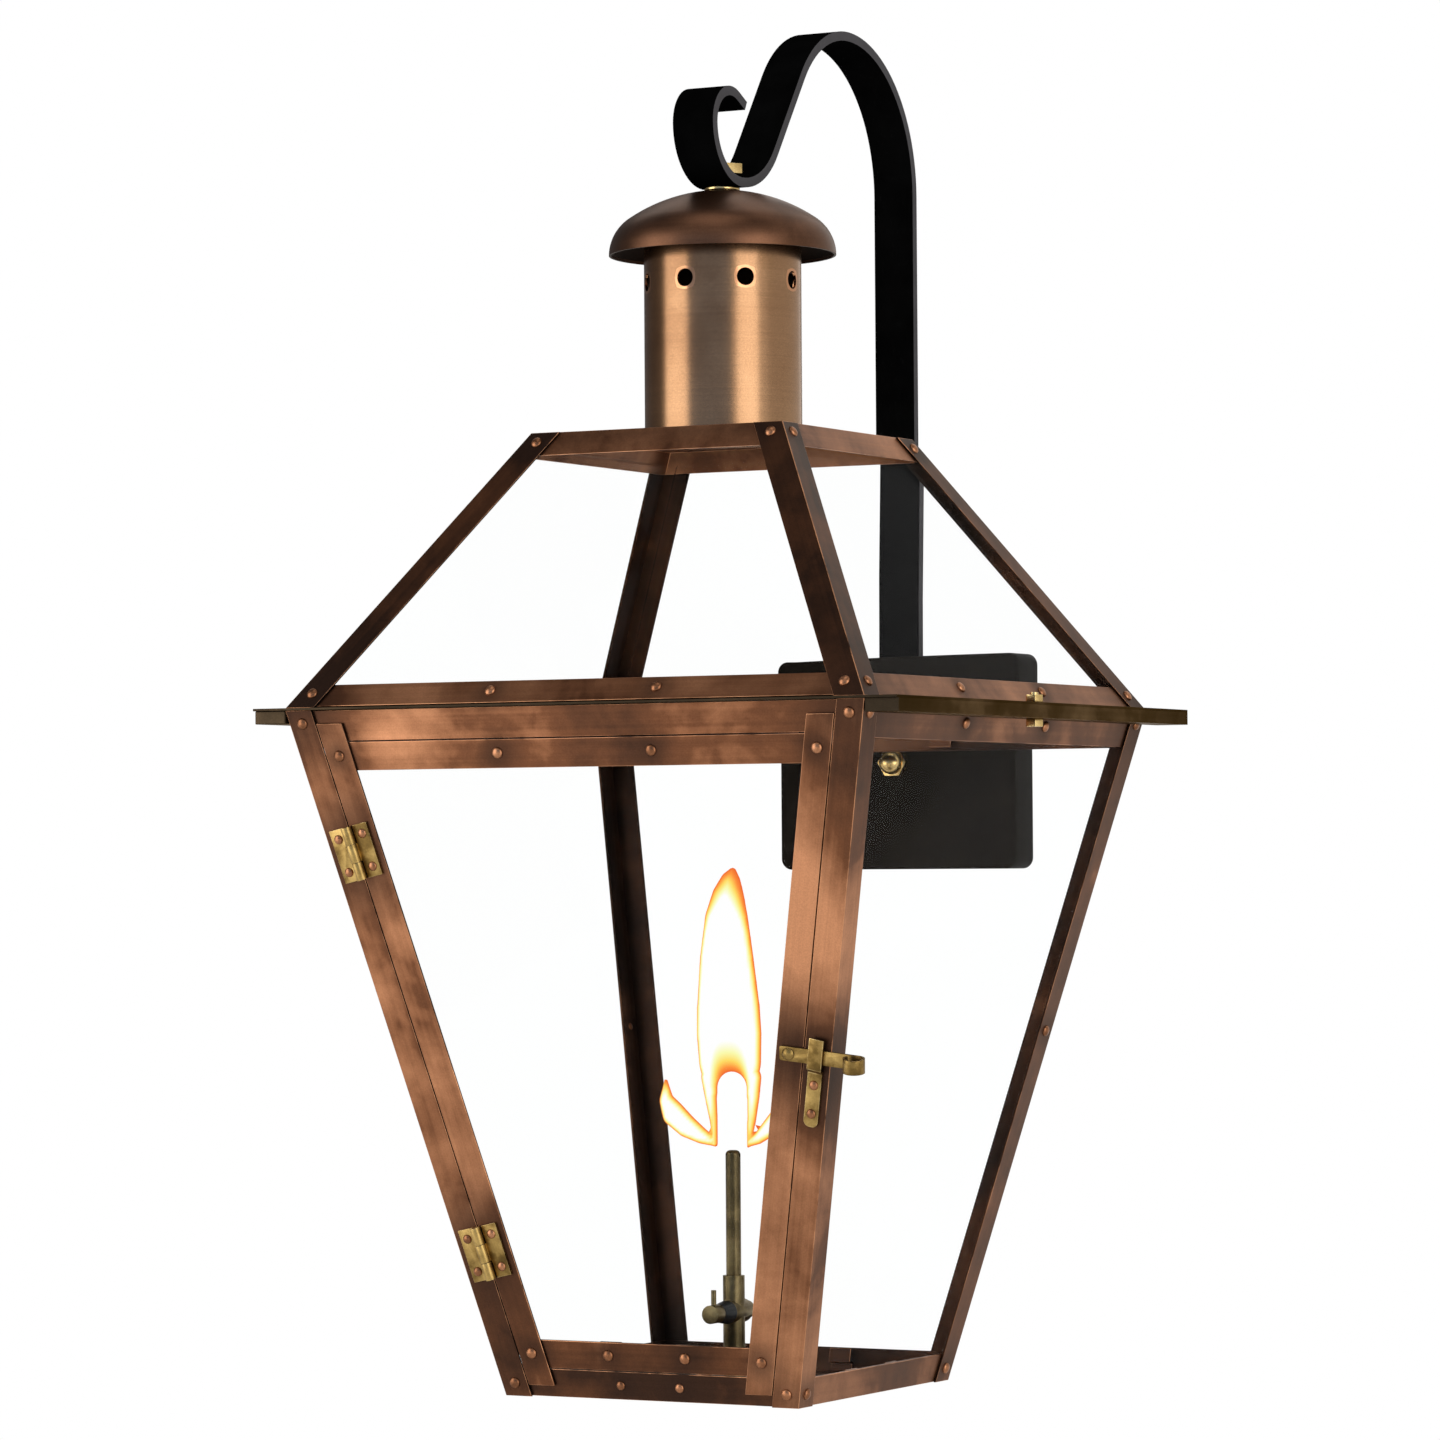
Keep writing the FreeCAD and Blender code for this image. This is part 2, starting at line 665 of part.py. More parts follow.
loft = crown.newObject("PartDesign::AdditiveLoft", "CrownOutside")
loft.Profile = squareAt(crown, crownLow, 1)
loft.Sections = [squareAt(crown, crownHeight, 1)]
loft.Ruled = True
hollow = crown.newObject("PartDesign::SubtractiveLoft", "CrownInside")
hollow.Profile = squareAt(crown, crownLow, 2)
hollow.Sections = [squareAt(crown, crownUnder, 2)]
hollow.Ruled = True
tubeRadius = size("tube_radius")
sketch = circle(makeSketch(crown, "XY_Plane", crownHeight), zero, zero, tubeRadius + setBack)
pocket(crown, sketch, copper * 2)

# Chimney tube with a foot flange under the crown and a ring of vents
tubeInner = worksOut("tube_inner", tubeRadius - copper)
tubeTop = size("tube_top")
flangeEdge = tubeRadius + size("tube_flange")
tube = makeBody("chimney_tube")
points = [
    (tubeInner, crownUnder - copper),
    (flangeEdge, crownUnder - copper),
    (flangeEdge, crownUnder),
    (tubeRadius, crownUnder),
    (tubeRadius, tubeTop),
    (tubeInner, tubeTop),
]
revolve(tube, outline(makeSketch(tube, "XZ_Plane"), points))
sketch = circle(makeSketch(tube, "XZ_Plane"), zero, size("vent_height"), size("vent_radius"))
ring(tube, pocket(tube, sketch, tubeRadius * 2), size("vent_count"))

# Chimney cap: a spun dome, a flat crown arc running into a tighter shoulder
capRim = size("cap_rim")
capRise = size("cap_rise")
capRadius = size("cap_radius")
shoulder = size("cap_shoulder")
shoulderOut = worksOut("shoulder_out", capRadius - shoulder)
domeSquare = shoulderOut * shoulderOut + capRise * capRise - shoulder * shoulder
dome = worksOut("dome_radius", domeSquare / ((capRise - shoulder) * 2))
domeCentre = worksOut("dome_centre", capRim + capRise - dome)
joinOut = worksOut("dome_join_out", shoulderOut / (dome - shoulder))
joinUp = worksOut("dome_join_up", (dome - capRise) / (dome - shoulder))
domeInner = worksOut("dome_inner", dome - copper)


def domeHeight(radius, out):
    return domeCentre + squareRoot(radius * radius - out * out)


cap = makeBody("chimney_cap")
points = [
    (boltHole, domeHeight(dome, boltHole), -dome),
    (dome * joinOut, domeCentre + dome * joinUp, -shoulder),
    (capRadius, capRim),
    (capRadius - copper, capRim, shoulder - copper),
    (domeInner * joinOut, domeCentre + domeInner * joinUp, domeInner),
    (boltHole, domeHeight(domeInner, boltHole)),
]
revolve(cap, outline(makeSketch(cap, "XZ_Plane"), points))

# Hanger: a strap inside the chimney, its bolt, nuts and the washer on the cap
bridgeHalf = size("bridge_width") * 0.5
bridgeSpan = squareRoot(tubeInner * tubeInner - bridgeHalf * bridgeHalf) - running
bridgeTop = worksOut("bridge_top", tubeTop - size("bridge_drop"))
bridgeThick = size("bridge_thick")
bridgeUnder = bridgeTop - bridgeThick
bridgeEnd = bridgeTop - size("bridge_leg")
bridge = makeBody("hanger_bridge")
points = [
    (-bridgeSpan, bridgeEnd),
    (-bridgeSpan + bridgeThick, bridgeEnd),
    (-bridgeSpan + bridgeThick, bridgeUnder),
    (bridgeSpan - bridgeThick, bridgeUnder),
    (bridgeSpan - bridgeThick, bridgeEnd),
    (bridgeSpan, bridgeEnd),
    (bridgeSpan, bridgeTop),
    (-bridgeSpan, bridgeTop),
]
sketch = outline(makeSketch(bridge, "XZ_Plane", -bridgeHalf), points)
pad(bridge, sketch, size("bridge_width"))
sketch = circle(makeSketch(bridge, "XY_Plane", bridgeTop), zero, zero, boltHole)
pocket(bridge, sketch, bridgeThick)

capTop = worksOut("cap_top", capRim + capRise)
armUnder = worksOut("arm_under", capTop + size("washer_thick"))
armThick = size("arm_thick")
nutFlats = size("nut_flats")
nutHeight = size("nut_height")
bellyInner = worksOut("belly_inner", size("scroll_belly") - armThick * 0.5)
scrollNutFlats = size("scroll_nut")
nutHalf = scrollNutFlats * 0.5
nutRise = bellyInner - squareRoot(bellyInner * bellyInner - nutHalf * nutHalf)
hangerNutLow = worksOut("hanger_nut_low", armUnder + armThick + nutRise)
hangerBolt = makeBody("hanger_bolt")
sketch = makeSketch(hangerBolt, "XY_Plane", bridgeUnder - nutHeight)
pad(hangerBolt, hexagon(sketch, nutFlats), nutHeight)
sketch = circle(makeSketch(hangerBolt, "XY_Plane", bridgeUnder), zero, zero, boltRadius)
boltEnd = hangerNutLow + nutHeight * 0.9
pad(hangerBolt, sketch, boltEnd - bridgeUnder)
hangerNut = localBody("HangerNut")
sketch = hexagon(makeSketch(hangerNut, "XY_Plane"), nutFlats)
pad(hangerNut, circle(sketch, zero, zero, boltRadius + running), nutHeight)
scrollNut = localBody("ScrollNut")
sketch = hexagon(makeSketch(scrollNut, "XY_Plane"), scrollNutFlats)
pad(scrollNut, circle(sketch, zero, zero, boltRadius + running), nutHeight)
washer = localBody("HangerWasher")
sketch = circle(makeSketch(washer, "XY_Plane"), zero, zero, size("washer_radius"))
pad(washer, circle(sketch, zero, zero, boltRadius + running), size("washer_thick"))
doc.recompute()
seats = [(hangerNut, capTop - copper * 1.2 - nutHeight), (hangerNut, bridgeTop)]
seats += [(scrollNut, hangerNutLow), (washer, capTop)]
fasteners = []
for body, height in seats:
    spot = FreeCAD.Vector(0, -reach.number, (height - drop).number)
    fasteners.append(placed(body.Shape, FreeCAD.Placement(spot, FreeCAD.Rotation())))
keepGroup("hanger_fasteners", fasteners)

# Wall plate: a shallow steel pan, open to the wall, with a slot for the gooseneck
plateWall = size("plate_wall")
plateDepth = size("plate_depth")
plateHalfWidth = size("plate_width") * 0.5
plateHalfHeight = size("plate_height") * 0.5
plateCorner = size("plate_corner")
panDepth = worksOut("pan_depth", plateDepth - plateWall)
plate = wallBody("wall_plate")
sketch = roundedBox(
    makeSketch(plate, "XZ_Plane"), plateHalfWidth, plateHalfHeight, plateCorner
)
block = pad(plate, sketch, plateDepth)


def onPlateFront(edge):
    return abs(edge.CenterOfMass.y + plateDepth.number) < 1e-3


roundEdges(plate, block, size("plate_edge"), onPlateFront)
sketch = roundedBox(
    makeSketch(plate, "XZ_Plane"),
    plateHalfWidth - plateWall,
    plateHalfHeight - plateWall,
    plateCorner - plateWall,
)
pocket(plate, sketch, panDepth, forward=True)
slotHalf = size("arm_width") * 0.5 + size("bolt_play")
sketch = makeSketch(plate, "XY_Plane", plateHalfHeight)
rectangle(sketch, -slotHalf, -panDepth, slotHalf, armThick + size("bolt_play") - panDepth)
pocket(plate, sketch, plateWall * 2)
studHole = size("stud_radius") + size("stud_play")
sketch = circle(makeSketch(plate, "XZ_Plane", panDepth), zero, zero, studHole)
pocket(plate, sketch, plateWall, forward=True)

# Acorn nut on the plate's middle, open to the wall for the stud
acornBase = size("acorn_base")
acornDome = size("acorn_dome")
acorn = wallBody("wall_plate_nut")
sketch = hexagon(makeSketch(acorn, "XZ_Plane", plateDepth), size("acorn_flats"))
pad(acorn, sketch, acornBase)
domeFoot = plateDepth + acornBase
sketch = makeSketch(acorn, "XY_Plane")
points = [
    (zero, -domeFoot - acornDome, acornDome),
    (acornDome, -domeFoot),
    (zero, -domeFoot),
]
revolve(acorn, outline(sketch, points))
sketch = circle(makeSketch(acorn, "XZ_Plane", plateDepth), zero, zero, size("stud_radius"))
pocket(acorn, sketch, size("acorn_depth"), forward=True)

# Bar on the wall, inside the pan, with the stud that the acorn nut pulls on
barThick = size("bar_thick")
barHalf = size("bar_width") * 0.5
barRise = size("bar_height") * 0.5
bar = wallBody("wall_bar")
sketch = makeSketch(bar, "XZ_Plane")
rectangle(sketch, -barHalf, -barRise, barHalf, barRise)
for hand in (-1, 1):
    circle(sketch, size("bar_spacing") * 0.5 * hand, zero, size("bar_hole"))
pad(bar, sketch, barThick)
sketch = makeSketch(bar, "XZ_Plane", barThick)
sketch = circle(sketch, zero, zero, size("stud_radius") - running)
pad(bar, sketch, plateDepth + size("acorn_depth") * 0.9 - barThick)

# Gooseneck: one flat bar bent in arcs from the wall plate to its scroll
armHalf = armThick.number / 2
bellyBend = size("scroll_belly").number
topBend = size("scroll_top").number
armBack = (reach - panDepth).number + armHalf
rearBend = armBack * size("arm_rear_share").number
frontBend = armBack * size("arm_front_share").number
sweepBend = armBack * size("scroll_sweep_share").number
armPeak = size("arm_top").number - armHalf
armSeat = armUnder.number + armHalf
plateTop = (drop + plateHalfHeight).number
bendSum = frontBend + sweepBend
peakBack = armBack - rearBend
fall = armPeak - armSeat
steep = math.atan2(peakBack, bendSum - fall)
steep -= math.acos(bendSum / math.hypot(peakBack, bendSum - fall))
straight = (peakBack - bendSum * math.sin(steep)) / math.cos(steep)
rise = armPeak - rearBend - (plateTop - size("arm_foot").number)
quarter = math.pi / 2
# Each run is (length, turn): a straight when turn is 0, else an arc of that radius
# and angle, left turns positive
runs = [
    (rise, 0),
    (rearBend, quarter),
    (frontBend, steep),
    (straight, 0),
    (sweepBend, -steep),
    (bellyBend, -quarter),
    (topBend, -quarter - math.radians(size("scroll_turn").number)),
    (size("scroll_tip").number, 0),
]


def ribbon(runs, start, heading, half):
    # The two long edges of a bent bar, followed run by run from its foot
    edges = {1: [], -1: []}
    spot = start
    for length, turn in runs:
        left = FreeCAD.Vector(0, -math.sin(heading), math.cos(heading))
        if turn == 0:
            ahead = FreeCAD.Vector(0, math.cos(heading), math.sin(heading))
            ends = [spot, spot + ahead * length]
            for hand in edges:
                a, b = [end + left * half * hand for end in ends]
                edges[hand].append(Part.LineSegment(a, b).toShape())
            spot = ends[1]
        else:
            bend = math.copysign(1, turn)
            centre = spot + left * length * bend
            spokes = []
            for share in (0, 0.5, 1):
                angle = heading + turn * share
                spoke = FreeCAD.Vector(0, math.sin(angle), -math.cos(angle))
                spokes.append(spoke * bend)
            for hand in edges:
                radius = length - half * hand * bend
                a, b, c = [centre + spoke * radius for spoke in spokes]
                edges[hand].append(Part.Arc(a, b, c).toShape())
            spot = centre + spokes[2] * length
            heading += turn
    return edges


foot = FreeCAD.Vector(0, armBack, plateTop - size("arm_foot").number)
edges = ribbon(runs, foot, quarter, armHalf)
heel = Part.LineSegment(edges[-1][0].Vertexes[0].Point, edges[1][0].Vertexes[0].Point)
toe = Part.LineSegment(edges[1][-1].Vertexes[-1].Point, edges[-1][-1].Vertexes[-1].Point)
rim = edges[1] + edges[-1] + [heel.toShape(), toe.toShape()]
armFace = Part.Face(Part.Wire(Part.__sortEdges__(rim)))
armWidth = size("arm_width").number
neck = armFace.extrude(FreeCAD.Vector(armWidth, 0, 0))
neck.translate(FreeCAD.Vector(-armWidth / 2, 0, 0))
boltWay = Part.makeCylinder(
    boltHole.number, armThick.number * 2, FreeCAD.Vector(0, 0, armUnder.number - armHalf)
)
arm = doc.addObject("Part::Feature", "gooseneck_arm")
arm.Shape = neck.cut(boltWay)
arm.Placement = FreeCAD.Placement(
    FreeCAD.Vector(0, -reach.number, -drop.number), FreeCAD.Rotation()
)
keep(arm)

# Gas cock: a turned body through the floor, with a barrel for its plug
burnerBack = size("burner_back")
cockRadius = size("cock_radius")
cockTop = size("cock_top")
cockAxis = size("cock_axis")
inletOuter = size("inlet_outer")
inletRadius = size("inlet_radius")
inletLow = -size("inlet_low")
inletEnd = inletLow + size("inlet_depth")
passage = size("passage")
burnerRadius = size("burner_radius")
burnerSeat = cockTop - size("burner_seat")
footTop = floorTop + copper * 1.5
barrelFront = size("barrel_front")
barrelBack = size("barrel_back")
plugRadius = size("plug_radius")
plugHead = size("plug_head")
cock = makeBody("gas_cock_body", back=burnerBack)
points = [
    (inletRadius, inletLow),
    (inletOuter, inletLow),
    (inletOuter, floorTop),
    (size("cock_foot"), floorTop),
    (size("cock_foot"), footTop),
    (cockRadius, footTop),
    (cockRadius, cockTop),
    (burnerRadius, cockTop),
    (burnerRadius, burnerSeat),
    (passage, burnerSeat),
    (passage, inletEnd),
    (inletRadius, inletEnd),
]
revolve(cock, outline(makeSketch(cock, "XZ_Plane"), points))
barrelLength = barrelFront + barrelBack
sketch = makeSketch(cock, "XZ_Plane", -barrelBack)
pad(cock, circle(sketch, zero, cockAxis, size("barrel_radius")), barrelLength)
sketch = makeSketch(cock, "XZ_Plane", -barrelBack)
sketch = circle(sketch, zero, cockAxis, plugRadius + running)
pocket(cock, sketch, barrelLength, forward=True)

locknut = makeBody("gas_cock_locknut", back=burnerBack)
locknutFlats = inletOuter * 3
sketch = makeSketch(locknut, "XY_Plane", floorLift - nutHeight)
pad(locknut, circle(hexagon(sketch, locknutFlats), zero, zero, inletOuter + running), nutHeight)

burner = makeBody("burner_tube", back=burnerBack)
burnerTip = size("burner_tip")
burnerBore = size("burner_bore")
points = [
    (burnerBore, burnerSeat),
    (burnerRadius, burnerSeat),
    (burnerRadius, burnerTip - burnerBore, burnerBore),
    (burnerRadius - burnerBore, burnerTip),
    (zero, burnerTip),
    (zero, burnerTip - burnerBore),
    (burnerBore, burnerTip - burnerBore),
]
revolve(burner, outline(makeSketch(burner, "XZ_Plane"), points))
slitHalf = copper * 0.4
sketch = makeSketch(burner, "XY_Plane", burnerTip)
rectangle(sketch, -burnerRadius, -slitHalf, burnerRadius, slitHalf)
pocket(burner, sketch, burnerBore * 1.5)

# Plug of the cock, turned by a pinned knob in front of a black gland
gland = makeBody("gas_cock_gland", back=burnerBack)
glandFront = barrelFront + size("gland_length")
sketch = makeSketch(gland, "XY_Plane", cockAxis)
points = [
    (plugRadius + running, -barrelFront),
    (plugRadius + running, -glandFront),
    (plugHead, -glandFront),
    (size("barrel_radius"), -barrelFront),
]
revolve(gland, outline(sketch, points))

plug = makeBody("gas_cock_plug", back=burnerBack)
knobBack = glandFront + setBack
knobFront = knobBack + size("knob_length")
capBack = barrelBack + setBack
capEnd = capBack + plugHead
sketch = makeSketch(plug, "XY_Plane", cockAxis)
points = [
    (zero, -knobFront),
    (plugHead, -knobFront),
    (plugHead, -knobBack),
    (plugRadius, -knobBack),
    (plugRadius, capBack),
    (plugHead, capBack),
    (plugHead, capEnd),
    (zero, capEnd),
]
revolve(plug, outline(sketch, points))
sketch = makeSketch(plug, "XY_Plane", cockAxis)
pinMiddle = (knobFront + knobBack) * 0.5
pad(plug, circle(sketch, zero, -pinMiddle, size("pin_radius")), size("pin_height"))
sketch = makeSketch(plug, "XY_Plane", cockAxis + plugHead)
sketch = circle(sketch, zero, zero, passage)
pocket(plug, sketch, plugHead * 2)

# Hinges: two-leaf butts on the slanted line between the front left post and the door
hingeLength = size("hinge_length")
hingeMid = size("hinge_mid") * 0.5
hingeThick = size("hinge_thick")
knuckle = size("hinge_knuckle")
hingePlay = size("hinge_play")
knuckleUp = worksOut("knuckle_up", knuckle + hingePlay * 0.5)
pinRadius = size("hinge_pin")
leafEdge = size("hinge_leaf")
clearOfKnuckle = knuckle + hingePlay


def hingeLeaf(name, hand, spans):
    # A leaf flat on the frame, with a knuckle on each span of the hinge's length
    body = localBody(name)
    sketch = makeSketch(body, "XZ_Plane", -hingeLength * 0.5)
    edge = leafEdge * hand
    pad(body, rectangle(sketch, clearOfKnuckle * hand, zero, edge, hingeThick), hingeLength)
    for low, high in spans:
        web = makeSketch(body, "XZ_Plane", -high)
        overlap = (clearOfKnuckle + hingeThick) * hand
        pad(body, rectangle(web, knuckle * 0.2 * hand, zero, overlap, hingeThick), high - low)
        barrel = makeSketch(body, "XZ_Plane", -high)
        pad(body, circle(barrel, zero, knuckleUp, knuckle), high - low)
    bore = makeSketch(body, "XZ_Plane", -hingeLength)
    bore = circle(bore, zero, knuckleUp, pinRadius + running)
    pocket(body, bore, hingeLength * 2, forward=True)
    return body


outerSpans = [
    (-hingeLength * 0.5, -hingeMid - hingePlay),
    (hingeMid + hingePlay, hingeLength * 0.5),
]
frameLeaf = hingeLeaf("HingeFrameLeaf", -1, outerSpans)
doorLeaf = hingeLeaf("HingeDoorLeaf", 1, [(-hingeMid, hingeMid)])
hingePin = localBody("HingePin")
sketch = circle(makeSketch(hingePin, "XZ_Plane", -hingeLength * 0.5), zero, knuckleUp, pinRadius)
pad(hingePin, sketch, hingeLength)
doc.recompute()
cornerTilt = math.degrees(math.atan(flank.rate.number))
hingeInset = strip + doorGap * 0.5
hingeSpots = []
for height in (size("upper_hinge_height"), size("lower_hinge_height")):
    up = height * flank.secant
    across = -flank.across(up, hingeInset)
    hingeSpots.append(slopePlacement(flank, "front", across, up, zero, cornerTilt))
for label, body in (
    ("hinge_frame_leaves", frameLeaf), ("hinge_door_leaves", doorLeaf), ("hinge_pins", hingePin)
):
    keepGroup(label, [placed(body.Shape, spot) for spot in hingeSpots])

# Latch: a curled lever on the door's right stile, dropped behind a tongued keeper
latchLift = size("latch_lift")
latchThick = size("latch_thick")
latchReach = size("latch_reach")
latchCurl = size("latch_curl")
latchHalf = size("latch_width") * 0.5
latchTail = size("latch_tail")
latchTop = latchLift + latchThick
curlUp = latchTop + latchCurl
curlOuter = latchCurl + latchThick
curlMiddle = math.radians(55)
curlEnd = math.radians(200)


def onCurl(radius, angle):
    return (latchReach + radius * math.cos(angle), curlUp + radius * math.sin(angle))


lever = doc.addObject("PartDesign::Body", "latch_lever")
points = [
    (-latchTail, latchLift),
    (latchReach, latchLift, curlOuter),
    (*onCurl(curlOuter, curlMiddle), curlOuter),
    onCurl(curlOuter, curlEnd),
    (*onCurl(latchCurl, curlEnd), -latchCurl),
    (*onCurl(latchCurl, curlMiddle), -latchCurl),
    (latchReach, latchTop),
    (-latchTail, latchTop),
]
sketch = outline(makeSketch(lever, "XZ_Plane", -latchHalf), points)
blade = pad(lever, sketch, latchHalf * 2)


def onLeverTail(edge):
    return abs(edge.CenterOfMass.x + latchTail.number) < 1e-3 and edge.BoundBox.YLength < 1e-3


tail = roundEdges(lever, blade, latchHalf * 0.3, onLeverTail)
pivotRadius = size("latch_pivot")
sketch = makeSketch(lever, "XY_Plane", latchTop)
pocket(lever, circle(sketch, zero, zero, pivotRadius + running), latchThick)

pivot = doc.addObject("PartDesign::Body", "latch_pivot")
latchHead = size("latch_head")
headFoot = latchTop + latchLift
headRise = pivotRadius
headRound = (latchHead * latchHead + headRise * headRise) / (headRise * 2)
points = [
    (zero, zero),
    (pivotRadius, zero),
    (pivotRadius, headFoot),
    (latchHead, headFoot, headRound),
    (zero, headFoot + headRise),
]
revolve(pivot, outline(makeSketch(pivot, "XZ_Plane"), points))

latchUp = size("latch_height") * flank.secant
latchAcross = flank.across(latchUp, (stileOuter + stileInner) * 0.5)
droop = size("latch_droop")
lever.Placement = slopePlacement(flank, "front", latchAcross, latchUp, zero, -droop.number)
pivot.Placement = slopePlacement(flank, "front", latchAcross, latchUp, zero)
keep(lever)
keep(pivot)

keeper = doc.addObject("PartDesign::Body", "latch_keeper")
keeperHalf = size("keeper_width") * 0.5
keeperLow = -size("keeper_below")
keeperHigh = size("keeper_above")
tongue = size("keeper_slot")
step = -latchHalf - tongue
points = [
    (keeperLow, zero),
    (step - tongue, zero),
    (step, tongue),
    (keeperHigh, tongue),
    (keeperHigh, tongue + latchThick),
    (step - latchThick * 0.5, tongue + latchThick),
    (step - tongue - latchThick * 0.5, latchThick),
    (keeperLow, latchThick),
]
sketch = outline(makeSketch(keeper, "YZ_Plane", -keeperHalf), points)
keeperBlade = pad(keeper, sketch, keeperHalf * 2)


def onKeeperFoot(edge):
    return abs(edge.CenterOfMass.y - keeperLow.number) < 1e-3 and edge.BoundBox.XLength < 1e-3


roundEdges(keeper, keeperBlade, keeperHalf * 0.8, onKeeperFoot)
keeperAcross = flank.across(latchUp, strip * 0.5)
keeperDown = (keeperAcross - latchAcross) * math.tan(math.radians(droop.number))
keeperUp = latchUp - keeperDown
keeper.Placement = slopePlacement(
    flank, "front", flank.across(keeperUp, strip * 0.5), keeperUp, zero, -cornerTilt
)
keep(keeper)

# Glass clips: small steps from the strips on to the panes
clip = localBody("GlassClip")
clipThick = size("clip_thick")
clipGap = size("clip_gap")
clipDeep = pane + clipThick
points = [
    (size("clip_foot"), zero),
    (clipGap, zero),
    (clipGap, -pane),
    (-size("clip_lip"), -pane),
    (-size("clip_lip"), -clipDeep),
    (clipGap + clipThick, -clipDeep),
    (clipGap + clipThick, -clipThick),
    (size("clip_foot"), -clipThick),
]
clipHalf = size("clip_width") * 0.5
sketch = outline(makeSketch(clip, "YZ_Plane", -clipHalf), points)
pad(clip, sketch, clipHalf * 2)
doc.recompute()


def clipPair(slope, side, across, up, turn):
    spots = [(across * hand, up) for hand in (-1, 1)]
    return [
        placed(clip.Shape, slopePlacement(slope, side, u, v, -glassDepth, turn))
        for u, v in spots
    ]


eaveClip = size("eave_clip")
lowClip = size("low_clip")
frameClips = []
for side in ("right", "back", "left"):
    paneTop = flankTop - size("side_header") + lap
    frameClips += clipPair(flank, side, eaveClip, paneTop, 0)
    frameClips += clipPair(flank, side, lowClip, strip - lap, 180)
for side in sides:
    frameClips += clipPair(roof, side, eaveClip, strip - lap, 180)

# Door stops: a stepped strip inside each front post, behind the gap at the stile
stopClear = doorGap * 0.5
stopDeep = stopClear + size("stop_thick")
stopLip = doorGap + stopClear
stopLow = strip * 1.2
stopHigh = flankTop - size("front_header") - strip * 0.2
stopMiddle = (stopLow + stopHigh) * 0.5
stopHalf = (stopHigh - stopLow) * 0.5
stop = localBody("DoorStop")
points = [
    (-size("stop_foot"), zero),
    (-stopClear, zero),
    (-stopClear, -stopClear),
    (stopLip, -stopClear),
    (stopLip, -stopDeep),
    (-size("stop_foot"), -stopDeep),
]
sketch = outline(makeSketch(stop, "XZ_Plane", -stopHalf), points)
pad(stop, sketch, stopHalf * 2)
doc.recompute()
stopAcross = flank.across(stopMiddle, strip)
for hand, turn in ((-1, cornerTilt), (1, 180 - cornerTilt)):
    spot = slopePlacement(flank, "front", stopAcross * hand, stopMiddle, -copper, turn)
    frameClips.append(placed(stop.Shape, spot))
keepGroup("frame_glass_clips", frameClips)
doorClips = clipPair(flank, "front", size("door_clip"), doorPaneTop, 0)
doorClips += clipPair(flank, "front", lowClip, doorPaneLow, 180)
keepGroup("door_glass_clips", doorClips)

# Every feature has to have built before any piece is written
doc.recompute()
for item in doc.Objects:
    if "Invalid" in item.State or "Error" in item.State:
        raise RuntimeError(f"{item.Label} did not build: {item.State}")
os.makedirs("parts", exist_ok=True)
for label, node in nodes.items():
    shape = node.Shape
    if shape.isNull() or not shape.isValid() or not shape.Solids:
        raise RuntimeError(f"{label} has no valid solid")
    shape.exportStep(os.path.join("parts", f"{label}.step"))
print(f"{len(nodes)} pieces written")

# Places that the joints turn about
hingeAxis = hingeSpots[0].Rotation.multVec(FreeCAD.Vector(0, -1, 0))
hingeSeat = FreeCAD.Vector(0, 0, knuckleUp.number)
for height, spot in zip(("upper", "lower"), hingeSpots):
    print(f"{height} hinge", spot.multVec(hingeSeat), "axis", hingeAxis)
latchAxis = pivot.Placement.Rotation.multVec(upright)
print("latch pivot", pivot.Placement.Base, "axis", latchAxis)
plugSpot = FreeCAD.Vector(0, (burnerBack - reach).number, (cockAxis - drop).number)
print("gas cock plug", plugSpot)
print("gas inlet", (inletLow - drop).number, "gooseneck slope", math.degrees(steep))
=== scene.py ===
import json
import math

import bmesh
import bpy
from mathutils import Matrix, Vector


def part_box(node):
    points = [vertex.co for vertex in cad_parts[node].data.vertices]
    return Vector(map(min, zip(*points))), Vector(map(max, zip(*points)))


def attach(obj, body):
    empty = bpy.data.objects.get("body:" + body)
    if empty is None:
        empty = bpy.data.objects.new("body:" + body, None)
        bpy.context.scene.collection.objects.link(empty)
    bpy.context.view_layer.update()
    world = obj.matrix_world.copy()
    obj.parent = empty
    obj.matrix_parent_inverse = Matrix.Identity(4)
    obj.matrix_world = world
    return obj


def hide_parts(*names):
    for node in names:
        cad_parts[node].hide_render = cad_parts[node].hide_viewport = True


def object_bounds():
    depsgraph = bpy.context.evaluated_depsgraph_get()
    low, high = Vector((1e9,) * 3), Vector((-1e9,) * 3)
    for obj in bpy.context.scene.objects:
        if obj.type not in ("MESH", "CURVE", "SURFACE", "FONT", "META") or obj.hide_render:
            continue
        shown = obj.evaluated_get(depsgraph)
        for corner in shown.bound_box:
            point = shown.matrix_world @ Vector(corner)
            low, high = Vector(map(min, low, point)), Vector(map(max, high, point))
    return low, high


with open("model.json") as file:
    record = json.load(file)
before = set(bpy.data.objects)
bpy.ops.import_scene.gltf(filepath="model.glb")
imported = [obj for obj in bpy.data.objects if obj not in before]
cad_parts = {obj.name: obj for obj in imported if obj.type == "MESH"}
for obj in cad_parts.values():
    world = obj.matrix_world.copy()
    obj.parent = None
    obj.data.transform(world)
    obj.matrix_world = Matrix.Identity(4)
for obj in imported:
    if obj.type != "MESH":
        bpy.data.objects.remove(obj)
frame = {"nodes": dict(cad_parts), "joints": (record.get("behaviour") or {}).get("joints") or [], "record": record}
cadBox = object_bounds()
nodes = frame["nodes"]
joints = {joint["name"]: joint for joint in frame["joints"]}
scene = bpy.context.scene
xWay = Vector((1, 0, 0))
yWay = Vector((0, 1, 0))
zWay = Vector((0, 0, 1))
hands = (-1, 1)
print("frame loaded:", len(nodes), "nodes")


# Places on the lantern, read from the frame

